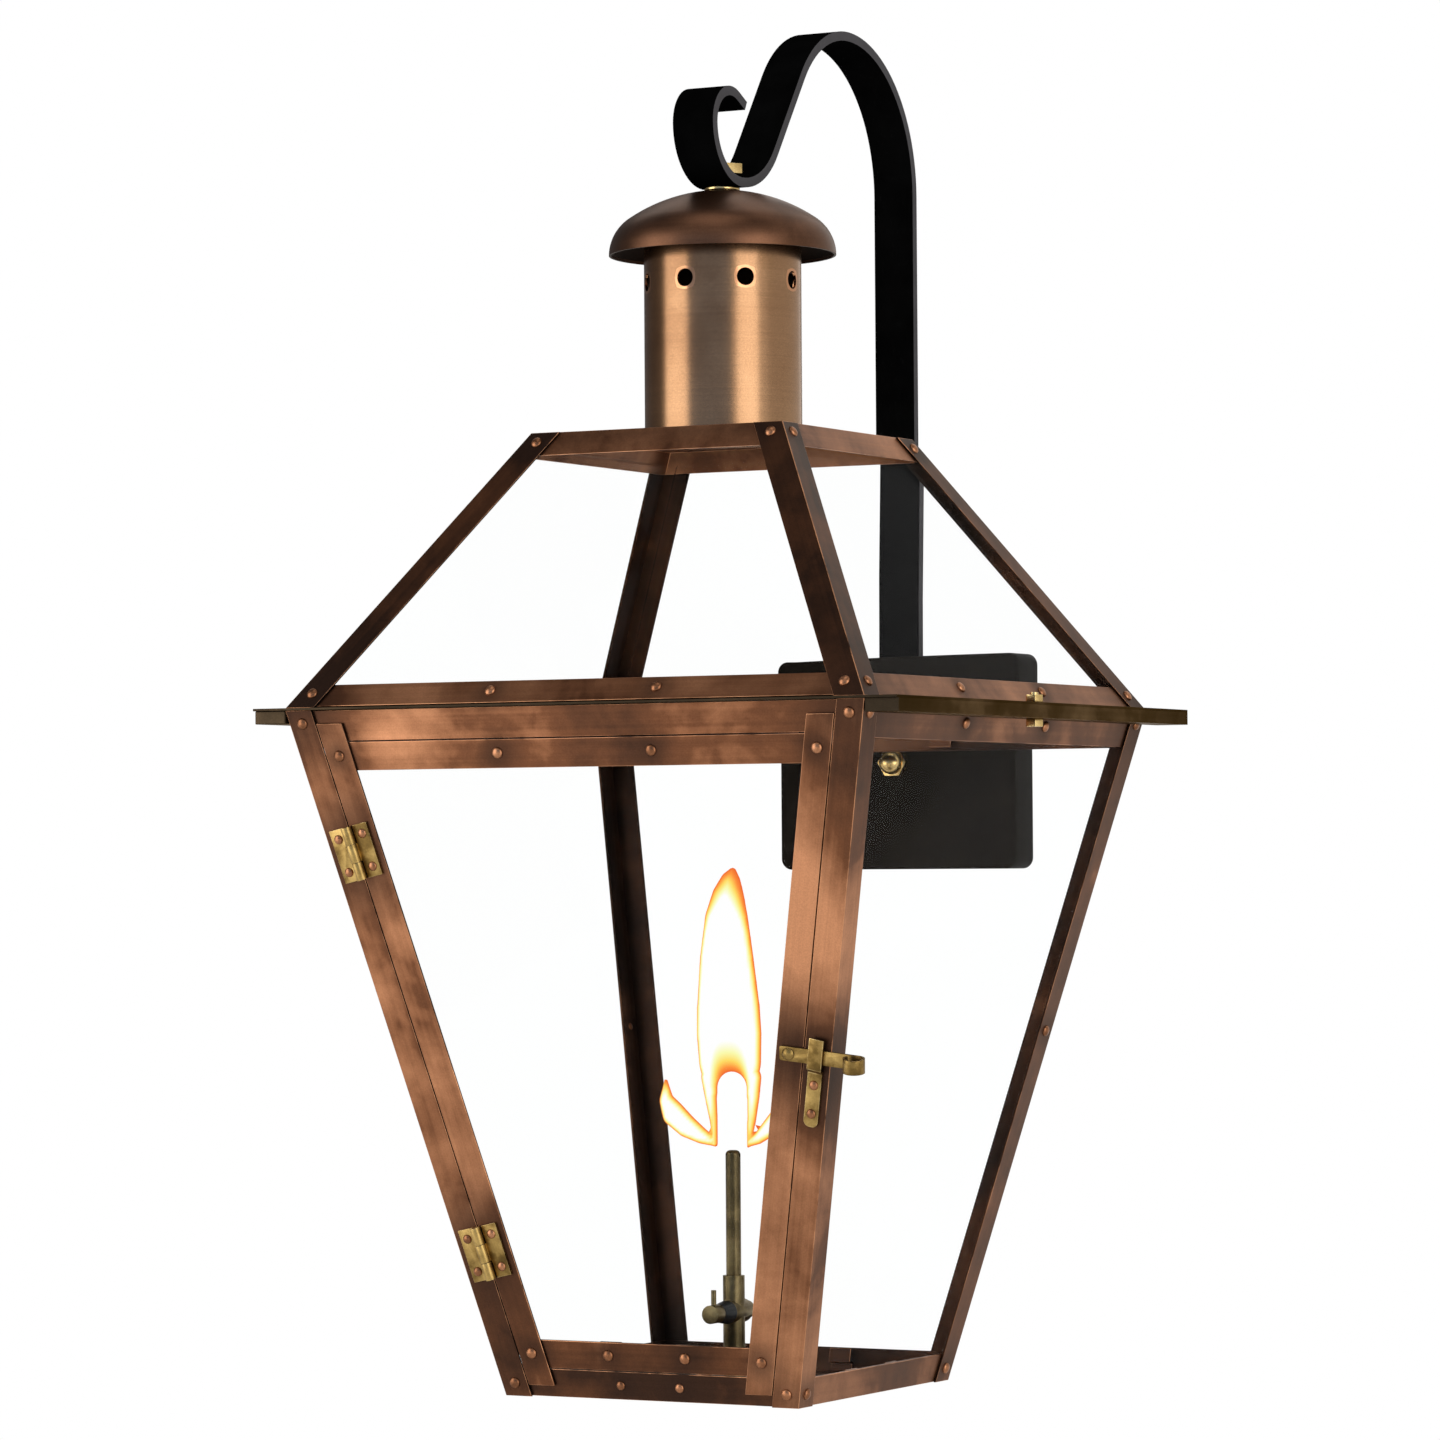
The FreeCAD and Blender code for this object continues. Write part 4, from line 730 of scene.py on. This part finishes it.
def markPiece(mesh, along, smoky, toneAndShade):
    # grain runs along the piece; smoke, wear and painted highlights come from the spots near by, and the piece's
    # tone, partly painted shade, is added to them
    second = along.orthogonal().normalized()
    third = along.cross(second)
    places = [vertex.co.copy() for vertex in mesh.vertices]
    lines = [p.dot(way) for p in places for way in (along, second, third)]
    mark(mesh, "grainPlace", "FLOAT_VECTOR", "POINT", lines)
    mark(mesh, "halo", "FLOAT", "POINT", [smokeAt(p) if smoky else 0.0 for p in places])
    toneWearAndPaintedLight = [toneAndShade + wearAndHighlightAt(p) if smoky else toneAndShade for p in places]
    mark(mesh, "toneWearAndPaintedLight", "FLOAT", "POINT", toneWearAndPaintedLight)


def markFaces(mesh, name, chosen):
    mark(mesh, name, "FLOAT", "FACE", [1.0 if chosen(face) else 0.0 for face in mesh.polygons])


def looksIn(face, least=0.3):
    # true for faces that look in towards the lantern's axis
    inwards = Vector((-face.center.x, axisY - face.center.y, 0))
    return face.normal.dot(inwards.normalized()) > least


def longWay(node, endWithin=0.002):
    # the direction a strip runs in, from its lowest to its highest end or along its length
    low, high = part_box(node)
    span = high - low
    if node.startswith(("corner_post", "roof_hip", "door_stile")):
        points = pointsOf(node)
        top = [p for p in points if high.z - p.z < endWithin]
        foot = [p for p in points if p.z - low.z < endWithin]
        return (middleOf(top) - middleOf(foot)).normalized()
    return xWay if span.x >= span.y else yWay


stripPlan = {"edge": 0.00026, "step": 0.0045, "across": 0.004}
stripStarts = (
    "corner_post", "roof_hip", "roof_eave_band", "header", "bottom_band", "door_stile",
    "door_top_rail", "door_bottom_rail",
)
stripNodes = [name for name in nodes if name.startswith(stripStarts)]
for node in stripNodes:
    work = softenEdges(solidCopy(node), stripPlan["edge"])
    along = longWay(node)
    cutAcross(work, along, stripPlan["step"])
    if not node.startswith(("corner_post", "roof_hip")):
        width = xWay if node.startswith("door_stile") else zWay
        cutAcross(work, (width - along * width.dot(along)).normalized(), stripPlan["across"])
    mesh = meshFrom(work, node + "Look")
    markPiece(mesh, along, True, toneAndShadeOf(node))
    markFaces(mesh, "inside", looksIn)
    linkLook(node, mesh, copperMaterial)
print("strips dressed:", len(stripNodes))


# Fittings: (nodes, finish, edge rounding, grain direction, more settings)

plateDress = {"step": 0.006, "smoky": True}
railDress = dict(plateDress, rubbed=False)
roundDress = {"crease": 32}
dressPlan = [
    (("crown_plate", "floor_plate"), copperMaterial, 0.00025, yWay, plateDress),
    # the eave plate is kept dark, without rubbed edges, as painted shade: a dark line under the roof's lip
    (("eave_plate",), railMaterial, 0.00025, yWay, railDress),
    (("side_rail_left", "side_rail_right"), railMaterial, 0.0016, yWay, railDress),
    (("hinge_frame_leaves", "hinge_door_leaves", "hinge_pins"), brassMaterial, 0.00018, hingeUp,
     roundDress),
    (("latch_lever", "latch_keeper", "latch_pivot"), brassMaterial, 0.00022, xWay, roundDress),
    (("gas_cock_body", "gas_cock_locknut", "burner_tube", "gas_cock_plug"), burnerMaterial, 0.0002,
     zWay, roundDress),
    (("gas_cock_gland",), glandMaterial, 0.0003, yWay, roundDress),
    (("wall_plate_nut", "hanger_bolt", "hanger_fasteners", "rail_fasteners"), polishedMaterial,
     0.0003, zWay, roundDress),
    (("hanger_bridge", "frame_glass_clips", "door_glass_clips"), copperMaterial, 0.00015, xWay, {}),
    (("wall_bar",), steelMaterial, 0.0003, xWay, roundDress),
    (("wall_plate",), plateMaterial, 0.0004, xWay, roundDress),
]
knuckleHighlightPlan = {"reach": 0.0027, "brighter": 0.2}
panePlan = {"hair": 0.00004}
neckPlan = {"edge": 0.0006, "sideways": 0.6}


def dressSolid(node, material, edge, along, step=None, crease=None, smoky=False, rubbed=True):
    # a CAD piece with its edges rounded and its marks set
    work = softenEdges(solidCopy(node), edge)
    if step:
        cutAcross(work, along, step)
    mesh = meshFrom(work, node + "Look")
    if crease:
        smoothen(mesh, crease)
    markPiece(mesh, along, smoky, toneAndShadeOf(node))
    if not rubbed:
        mesh.attributes.remove(mesh.attributes["edgeWear"])
    return linkLook(node, mesh, material)


def paintKnuckleHighlight(mesh):
    # the round of a hinge is painted brighter than its leaves: a painted highlight along the knuckle
    level = [entry.value for entry in mesh.attributes["toneWearAndPaintedLight"].data]
    for index, vertex in enumerate(mesh.vertices):
        arm = vertex.co - Vector(joints["door_swing"]["pos_m"])
        if (arm - hingeUp * arm.dot(hingeUp)).length < knuckleHighlightPlan["reach"]:
            level[index] += knuckleHighlightPlan["brighter"]
    mesh.attributes["toneWearAndPaintedLight"].data.foreach_set("value", level)


def dressPane(node):
    # a pane stands a hair off the metal it rests on, so that their faces don't coincide
    work = solidCopy(node)
    work.normal_update()
    for vertex in work.verts:
        vertex.co -= vertex.normal * panePlan["hair"]
    linkLook(node, meshFrom(work, node + "Look"), glassMaterial)


for names, material, edge, along, more in dressPlan:
    for node in names:
        piece = dressSolid(node, material, edge, along, **more)
        # a painted highlight along each hinge's knuckle
        if node.startswith("hinge_"):
            paintKnuckleHighlight(piece.data)
for node in nodes:
    if "_glass" in node and "clips" not in node:
        dressPane(node)
neck = dressSolid("gooseneck_arm", ironMaterial, neckPlan["edge"], zWay, **roundDress)
markFaces(neck.data, "cutEdge", lambda face: abs(face.normal.x) > neckPlan["sideways"])
print("fittings dressed")


# Chimney: a tube of eight like sectors, each with its vent

chimney = {
    "radius": edgeAt("chimney_tube", True), "flange": edgeAt("chimney_tube", False), "sectors": 8,
    "cells": 6, "rows": (10, 3), "ventRadius": 0.0045, "ventHeight": bottomZ + 0.556,
    "ringShares": (0.0, 0.12, 0.35, 0.65, 1.0), "flangeShares": (0.0, 0.5, 1.0),
    "weld": 1e-6, "crease": 40, "grainRadius": 0.04,
}


def ring(work, radius, spots):
    # points round the chimney's axis, from (turn, height)
    return [
        work.verts.new((radius * math.sin(a), axisY - radius * math.cos(a), z)) for a, z in spots
    ]


def skin(work, rows, closed):
    # faces between rows of points
    made = []
    for inner, outer in zip(rows, rows[1:]):
        for k in range(len(inner) - (0 if closed else 1)):
            n = (k + 1) % len(inner)
            made.append(work.faces.new((inner[k], outer[k], outer[n], inner[n])))
    return made


def thicken(work):
    # turns a round sheet's faces outwards and gives it its thickness
    def outwards(face):
        centre = face.calc_center_median()
        return face.normal.dot(centre - Vector((0, axisY, centre.z)))

    bmesh.ops.recalc_face_normals(work, faces=work.faces)
    if sum(outwards(face) for face in work.faces) < 0:
        bmesh.ops.reverse_faces(work, faces=work.faces)
    bmesh.ops.solidify(work, geom=work.faces[:], thickness=sheet)


def makeChimney():
    foot, top = tubeBox[0].z + sheet, tubeBox[1].z
    radius = chimney["radius"]
    cells = chimney["cells"]
    sector = 2 * math.pi / chimney["sectors"]
    half = radius * sector / 2
    middle = chimney["ventHeight"]
    ticks = [-half + 2 * half * k / cells for k in range(cells + 1)]
    # points round a square patch, from its lower left corner
    rim = [(t, -half) for t in ticks[:-1]] + [(half, t) for t in ticks[:-1]]
    rim += [(-x, -y) for x, y in rim]
    work = bmesh.new()
    rubbed = work.faces.layers.float.new("edgeWear")

    def row(spots, turn, wide=radius):
        return ring(work, wide, [(s / radius + turn, z) for s, z in spots])

    def fromVent(x, y, share):
        # a share of the way from the vent's edge to the patch's rim
        scale = chimney["ventRadius"] / math.hypot(x, y)
        return x * scale + x * (1 - scale) * share, middle + y * scale + y * (1 - scale) * share

    bands = zip((foot, middle + half), (middle - half, top), chimney["rows"])
    levels = [
        [low + (high - low) * r / count for r in range(count + 1)] for low, high, count in bands
    ]
    wides = [radius + (chimney["flange"] - radius) * share for share in chimney["flangeShares"]]
    for number in range(chimney["sectors"]):
        turn = sector * number
        rings = [
            row([fromVent(x, y, share) for x, y in rim], turn) for share in chimney["ringShares"]
        ]
        for face in skin(work, rings, True)[:len(rim)]:
            face[rubbed] = 1.0
        for band in levels:
            skin(work, [row([(s, z) for s in ticks], turn) for z in band], False)
        # the foot's flange, turned out under the crown
        skin(work, [row([(s, foot) for s in ticks], turn, wide) for wide in wides], False)
    bmesh.ops.remove_doubles(work, verts=work.verts, dist=chimney["weld"])
    thicken(work)
    return meshFrom(work, "chimneyTubeLook")


def markRound(mesh):
    # grain runs round the chimney: (turn, height, radius)
    lines = [0.0] * (3 * len(mesh.loops))
    for face in mesh.polygons:
        turn = math.atan2(face.center.x, axisY - face.center.y)
        for corner in face.loop_indices:
            place = mesh.vertices[mesh.loops[corner].vertex_index].co
            own = math.atan2(place.x, axisY - place.y)
            own += 2 * math.pi * round((turn - own) / (2 * math.pi))
            radius = math.hypot(place.x, place.y - axisY)
            lines[3 * corner:3 * corner + 3] = (own * chimney["grainRadius"], place.z, radius)
    mark(mesh, "grainPlace", "FLOAT_VECTOR", "CORNER", lines)


def linkRound(node, mesh, material, inside):
    smoothen(mesh, chimney["crease"])
    markRound(mesh)
    markFaces(mesh, "inside", inside)
    linkLook(node, mesh, material)


linkRound("chimney_tube", makeChimney(), chimneyMaterial, looksIn)

# Cap: a spun dome with a round shoulder
capPlan = {"steps": 96, "shoulder": 0.022, "arcSteps": 14, "hole": 0.0033, "under": -0.05}


def makeCap():
    low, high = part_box("chimney_cap")
    rise = high.z - low.z
    shoulder = capPlan["shoulder"]
    out = high.x - shoulder
    dome = (out * out + rise * rise - shoulder * shoulder) / (2 * (rise - shoulder))
    join = math.asin(out / (dome - shoulder))
    start = math.asin(capPlan["hole"] / dome)
    shares = [k / capPlan["arcSteps"] for k in range(capPlan["arcSteps"] + 1)]
    profile = []
    for share in shares:
        a = start + (join - start) * share
        profile.append((dome * math.sin(a), high.z - dome + dome * math.cos(a)))
    for share in shares[1:]:
        a = join + (math.pi / 2 - join) * share
        profile.append((out + shoulder * math.sin(a), low.z + shoulder * math.cos(a)))
    work = bmesh.new()
    steps = capPlan["steps"]
    turns = [2 * math.pi * s / steps for s in range(steps)]
    skin(work, [ring(work, r, [(a, z) for a in turns]) for r, z in profile], True)
    thicken(work)
    return meshFrom(work, "chimneyCapLook")


linkRound(
    "chimney_cap", makeCap(), capMaterial, lambda face: face.normal.z < capPlan["under"]
)
print("chimney made")


# Rivet heads, set by Geometry Nodes on points that know which way is out

def rivetTree():
    tree = bpy.data.node_groups.new("rivetHeads", "GeometryNodeTree")
    given = addSockets(
        tree, {"Geometry": "Geometry", "Rise": "Float", "Sides": "Int", "Rings": "Int",
               "Material": "Material"}, {"Geometry": "Geometry"},
    )

    def named(name, kind):
        node = addNode(tree, "GeometryNodeInputNamedAttribute", {"Name": name}, data_type=kind)
        return node.outputs[0]

    head = addNode(tree, "GeometryNodeMeshUVSphere", {
        "Segments": given["Sides"], "Rings": given["Rings"], "Radius": 1.0,
    }).outputs["Mesh"]
    squat = addNode(tree, "ShaderNodeCombineXYZ", {0: 1.0, 1: 1.0, 2: given["Rise"]}).outputs[0]
    shaped = addNode(tree, "GeometryNodeTransform", {0: head, "Scale": squat}).outputs[0]
    smooth = addNode(tree, "GeometryNodeSetShadeSmooth", {0: shaped}).outputs[0]
    out = {"Vector": named("rivetOut", "FLOAT_VECTOR")}
    turn = addNode(tree, "FunctionNodeAlignRotationToVector", out, axis="Z").outputs[0]
    heads = addNode(tree, "GeometryNodeInstanceOnPoints", {
        "Points": given["Geometry"], "Instance": smooth, "Rotation": turn,
        "Scale": named("rivetSize", "FLOAT"),
    }).outputs[0]
    real = addNode(tree, "GeometryNodeRealizeInstances", {0: heads}).outputs[0]
    finish = {0: real, "Material": given["Material"]}
    dressed = addNode(tree, "GeometryNodeSetMaterial", finish).outputs[0]
    addNode(tree, "NodeGroupOutput", {0: dressed})
    return tree


rivetHeads = rivetTree()
headPlan = {"Rise": 0.55, "Sides": 20, "Rings": 10, "Material": rivetMaterial}


def setRivets(body, spots):
    places, outs, sizes = zip(*spots)
    points = bpy.data.meshes.new(body + "RivetPoints")
    points.from_pydata(places, [], [])
    mark(points, "rivetOut", "FLOAT_VECTOR", "POINT", [part for out in outs for part in out])
    mark(points, "rivetSize", "FLOAT", "POINT", sizes)
    maker = bpy.data.objects.new(body + "RivetMaker", points)
    scene.collection.objects.link(maker)
    modifier = maker.modifiers.new("rivetHeads", "NODES")
    modifier.node_group = rivetHeads
    for item in rivetHeads.interface.items_tree:
        if item.name in headPlan:
            modifier[item.identifier] = headPlan[item.name]
    seen = maker.evaluated_get(bpy.context.evaluated_depsgraph_get())
    mesh = bpy.data.meshes.new_from_object(seen)
    bpy.data.objects.remove(maker)
    linkPiece(body + "_rivets", mesh, body, rivetMaterial)


for body, spots in rivets.items():
    setRivets(body, spots)
print("rivets set")


# Flame: a flat fishtail with an arched foot, drawn as petals of discs (mm from the burner's tip)

flamePlan = {
    "cell": 0.0016, "thick": 0.0045, "bulge": 0.012, "lift": 0.0006, "rim": 0.003,
    "tipRim": 0.015, "tipFrom": 0.74, "archRim": 0.017, "archSide": 1.3, "archGlow": 1.5,
    "archFade": 0.2, "rimShare": 0.15, "discSteps": 8, "settle": 3, "nudge": 0.1, "weld": 2e-5,
    "arch": (-0.3, 30.5, 8.4),
    "petals": [
        [(-1.4, 44.8, 17.8), (-1.8, 58.0, 18.5), (-2.1, 70.0, 18.0), (-2.9, 95.0, 15.4),
         (-2.9, 115.0, 12.4), (-2.0, 126.0, 9.4), (-0.6, 134.0, 6.0), (0.8, 139.5, 2.2)],
        [(-10.1, 2.5, 1.6), (-10.9, 14.5, 2.4), (-12.6, 26.6, 3.5), (-12.0, 36.0, 6.0)],
        [(8.8, 2.5, 1.7), (10.8, 14.5, 2.5), (11.9, 26.6, 3.5), (10.5, 36.0, 6.0)],
        [(-10.3, 3.2, 2.1), (-18.3, 6.5, 4.2), (-27.0, 11.4, 6.0), (-34.0, 17.2, 6.6),
         (-38.0, 23.6, 4.2), (-38.4, 33.8, 0.9)],
        [(9.0, 3.2, 2.0), (14.5, 5.6, 3.0), (20.5, 10.5, 4.4), (26.0, 16.5, 4.8),
         (29.6, 24.0, 3.2), (30.6, 33.0, 0.8)],
    ],
}


def flameDiscs():
    discs = []
    steps = flamePlan["discSteps"]
    for petal in flamePlan["petals"]:
        for start, end in zip(petal, petal[1:]):
            for step in range(steps + 1):
                share = step / steps
                discs.append(tuple((a + (b - a) * share) / 1000 for a, b in zip(start, end)))
    return discs


def makeFlame():
    low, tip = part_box("burner_tube")
    foot = Vector(((low.x + tip.x) / 2, (low.y + tip.y) / 2, tip.z + flamePlan["lift"]))
    discs = flameDiscs()
    archX, archZ, archR = (size / 1000 for size in flamePlan["arch"])
    top = max(z + r for x, z, r in discs)

    def arch(x, z):
        return math.hypot(x - archX, max(z - archZ, 0.0)) - archR

    def outside(x, z):
        body = min(math.hypot(x - dx, z - dz) - r for dx, dz, r in discs)
        nearArch = abs(x - archX) < flamePlan["archSide"] * archR
        return max(body, -arch(x, z)) if nearArch else body

    def heatAt(x, z, gap):
        # the rim widens towards the tip and over the arch
        tipFrom = flamePlan["tipFrom"]
        tipward = min(max((z / top - tipFrom) / (1 - tipFrom), 0.0), 1.0)
        warm = min(-gap / (flamePlan["rim"] + flamePlan["tipRim"] * tipward * tipward), 1.0)
        aside = abs(x - archX) / archR
        if z > archZ and aside < flamePlan["archGlow"]:
            overArch = max(arch(x, z), 0.0) / flamePlan["archRim"]
            warm = min(warm, overArch + aside ** 4 * flamePlan["archFade"])
        return warm

    cell = flamePlan["cell"]
    rimAt = -flamePlan["rimShare"] * cell
    lowX = min(x - r for x, z, r in discs) - 2 * cell
    lowZ = min(z - r for x, z, r in discs) - 2 * cell
    columns = int((max(x + r for x, z, r in discs) - lowX) / cell) + 3
    rows = int((top - lowZ) / cell) + 3
    reach = {
        (i, j): outside(lowX + i * cell, lowZ + j * cell)
        for i in range(columns) for j in range(rows)
    }

    def ringOf(i, j):
        return [(i, j), (i + 1, j), (i + 1, j + 1), (i, j + 1)]

    def depth(spot):
        return min(reach.get(corner, 0.0) for corner in ringOf(*spot))

    def closePinches():
        # of two cells that meet in a line lying wholly on the rim, the shallower goes
        closed = 0
        for i, j in list(reach):
            for end, other in (((i + 1, j), (i, j - 1)), ((i, j + 1), (i - 1, j))):
                if min(reach[i, j], reach.get(end, rimAt - 1)) < rimAt:
                    continue
                shallow = max((i, j), other, key=depth)
                if depth(shallow) < rimAt:
                    for corner in ringOf(*shallow):
                        reach[corner] = max(reach[corner], 0.0)
                    closed += 1
        return closed

    while closePinches():
        pass
    work = bmesh.new()
    heat = work.verts.layers.float.new("flameHeat")
    made = {}

    def onRim(x, z):
        # moves a point on to the outline, a few times along the slope
        step = cell * flamePlan["nudge"]
        for turn in range(flamePlan["settle"]):
            slopeX = (outside(x + step, z) - outside(x - step, z)) / (2 * step)
            slopeZ = (outside(x, z + step) - outside(x, z - step)) / (2 * step)
            gap = outside(x, z)
            x, z = x - slopeX * gap, z - slopeZ * gap
        return x, z

    def point(i, j, hand):
        x, z = lowX + i * cell, lowZ + j * cell
        gap = reach[i, j]
        if gap >= rimAt:
            x, z = onRim(x, z)
            gap = 0.0
            hand = 0
        key = (i, j, hand)
        if key not in made:
            swell = math.sqrt(min(-gap / flamePlan["bulge"], 1.0))
            vertex = work.verts.new(foot + Vector((x, flamePlan["thick"] * swell * hand, z)))
            vertex[heat] = heatAt(x, z, gap)
            made[key] = vertex
        return made[key]

    for i in range(columns - 1):
        for j in range(rows - 1):
            if depth((i, j)) >= rimAt:
                continue
            for hand in hands:
                corners = [point(a, b, hand) for a, b in ringOf(i, j)]
                if hand > 0:
                    corners.reverse()
                if len(set(corners)) == 4 and not work.faces.get(corners):
                    work.faces.new(corners)
    bmesh.ops.remove_doubles(work, verts=work.verts, dist=flamePlan["weld"])
    bmesh.ops.recalc_face_normals(work, faces=work.faces)
    openEdges = [edge for edge in work.edges if len(edge.link_faces) != 2]
    print("flame edges not shared by two faces:", len(openEdges))
    mesh = meshFrom(work, "gasFlame")
    mesh.shade_smooth()
    return mesh


linkPiece("gas_flame", makeFlame(), "lantern", flameMaterial)
print("flame lit")


# Camera, fitted to the photograph (1440 pixels square)

view = {
    "turn": math.radians(28.42), "distance": 2.777, "height": 0.2626, "focal": 5508.0,
    "frame": 1440.0, "middle": (725.6, 865.1), "roll": math.radians(-0.37), "sensor": 36.0,
    "farthest": 30,
}


def makeCamera():
    right = Vector((math.cos(view["turn"]), math.sin(view["turn"]), 0))
    ahead = Vector((-math.sin(view["turn"]), math.cos(view["turn"]), 0))
    aside = (view["frame"] / 2 - view["middle"][0]) / view["focal"]
    above = (view["middle"][1] - view["frame"] / 2) / view["focal"]
    look = (ahead + right * aside + zWay * above).normalized()
    level = look.cross(zWay).normalized()
    over = level.cross(look)
    across = level * math.cos(view["roll"]) + over * math.sin(view["roll"])
    upwards = across.cross(look)
    lens = bpy.data.cameras.new("photoLens")
    lens.sensor_width = view["sensor"]
    lens.lens = view["sensor"] * view["focal"] / view["frame"]
    lens.clip_end = view["farthest"]
    camera = bpy.data.objects.new("photoCamera", lens)
    place = Vector((0, axisY, bottomZ + view["height"])) - ahead * view["distance"]
    turn = Matrix((across, upwards, -look)).transposed()
    camera.matrix_world = Matrix.Translation(place) @ turn.to_4x4()
    scene.collection.objects.link(camera)
    scene.camera = camera
    return ahead, right


ahead, right = makeCamera()


# Studio: white world, two softboxes and a top light

lightPlan = {
    "left": {"aside": -73, "height": 0.2, "away": 1.9, "size": (1.4, 1.9), "power": 16},
    "right": {"aside": 36, "height": 0.2, "away": 1.9, "size": (1.1, 1.9), "power": 13},
    "top": {"aside": -20, "height": 2.0, "away": 0.6, "size": (1.2, 1.2), "power": 5},
}
worldPlan = {"targetUp": 0.35, "dim": (0.62, 0.62, 0.62, 1), "white": (1, 1, 1, 1)}
target = Vector((0, axisY, bottomZ + worldPlan["targetUp"]))


def towards(degrees):
    # a level direction from the lantern, counted from the camera to the right
    angle = math.radians(degrees)
    return -ahead * math.cos(angle) + right * math.sin(angle)


def addLamp(name, plan):
    place = target + towards(plan["aside"]) * plan["away"]
    place.z = target.z + plan["height"]
    lamp = bpy.data.lights.new(name, "AREA")
    lamp.shape = "RECTANGLE"
    lamp.size, lamp.size_y = plan["size"]
    lamp.energy = plan["power"]
    holder = bpy.data.objects.new(name, lamp)
    holder.location = place
    holder.rotation_euler = (target - place).to_track_quat("-Z", "Y").to_euler()
    scene.collection.objects.link(holder)


for name, plan in lightPlan.items():
    addLamp(name + "Softbox", plan)


def makeWorld():
    # what the camera, metal and glass see is white; what lights the surfaces is dimmer
    world = bpy.data.worlds.new("whiteStudio")
    scene.world = world
    world.use_nodes = True
    tree = world.node_tree
    path = addNode(tree, "ShaderNodeLightPath").outputs
    seen = path["Is Camera Ray"]
    for label in ("Is Glossy Ray", "Is Transmission Ray"):
        seen = mathNode(tree, "MAXIMUM", seen, path[label])
    colour = mixColour(tree, seen, worldPlan["dim"], worldPlan["white"])
    feed(tree.nodes["Background"], "Color", colour)


makeWorld()

# Dark cards between the softboxes, which shiny metal alone sees
uprightCard = {"away": (2.4, 2.4), "rise": (-0.35, 1.7), "back": 0, "steps": 12}
cardPlan = {
    "front": dict(uprightCard, start=-54, end=13, shade=(0.33, 0.43, 0.62, 1)),
    "right": dict(uprightCard, start=68, end=150, shade=(0.68, 0.68, 0.68, 1)),
    "left": dict(uprightCard, start=-180, end=-92, shade=(0.13, 0.13, 0.14, 1)),
    "ceiling": dict(
        uprightCard, start=-130, end=55, shade=(0.16, 0.16, 0.17, 1), away=(3.2, 0.0),
        rise=(2.3, 2.3), back=0.8,
    ),
}


def addStage(name, points, faces, material):
    mesh = bpy.data.meshes.new(name)
    mesh.from_pydata(points, [], faces)
    mesh.materials.append(material)
    thing = bpy.data.objects.new(name, mesh)
    scene.collection.objects.link(thing)
    return thing


def addCard(name, plan):
    steps = plan["steps"]
    points = []
    for step in range(steps + 1):
        reach = towards(plan["start"] + (plan["end"] - plan["start"]) * step / steps)
        for away, rise in zip(plan["away"], plan["rise"]):
            points.append(target + ahead * plan["back"] + reach * away + zWay * rise)
    faces = [(k, k + 2, k + 3, k + 1) for k in range(0, 2 * steps, 2)]
    card = addStage(name, points, faces, makeGlow(name, plan["shade"])[0])
    for kind in ("camera", "diffuse", "transmission", "shadow"):
        setattr(card, "visible_" + kind, False)


for name, plan in cardPlan.items():
    addCard(name + "Card", plan)

floorPlan = {
    "below": 0.42, "radius": 1.8, "sides": 64, "colour": (0.86, 0.86, 0.86), "metallic": 0.0,
    "rough": 0.8, "scale": 60.0, "detail": 3.0, "uneven": (0.3, 0.7, 0.75, 0.85),
}


def makeFloor():
    level = cadBox[0][2] - floorPlan["below"]
    radius, sides = floorPlan["radius"], floorPlan["sides"]
    turns = [step * math.tau / sides for step in range(sides)]
    corners = [(radius * math.cos(a), axisY + radius * math.sin(a), level) for a in turns]
    material = makeUneven("paleFloor", floorPlan)
    floor = addStage("studioFloor", corners, [tuple(range(sides))], material)


makeFloor()
scene.view_settings.view_transform = "Standard"
print("studio set")
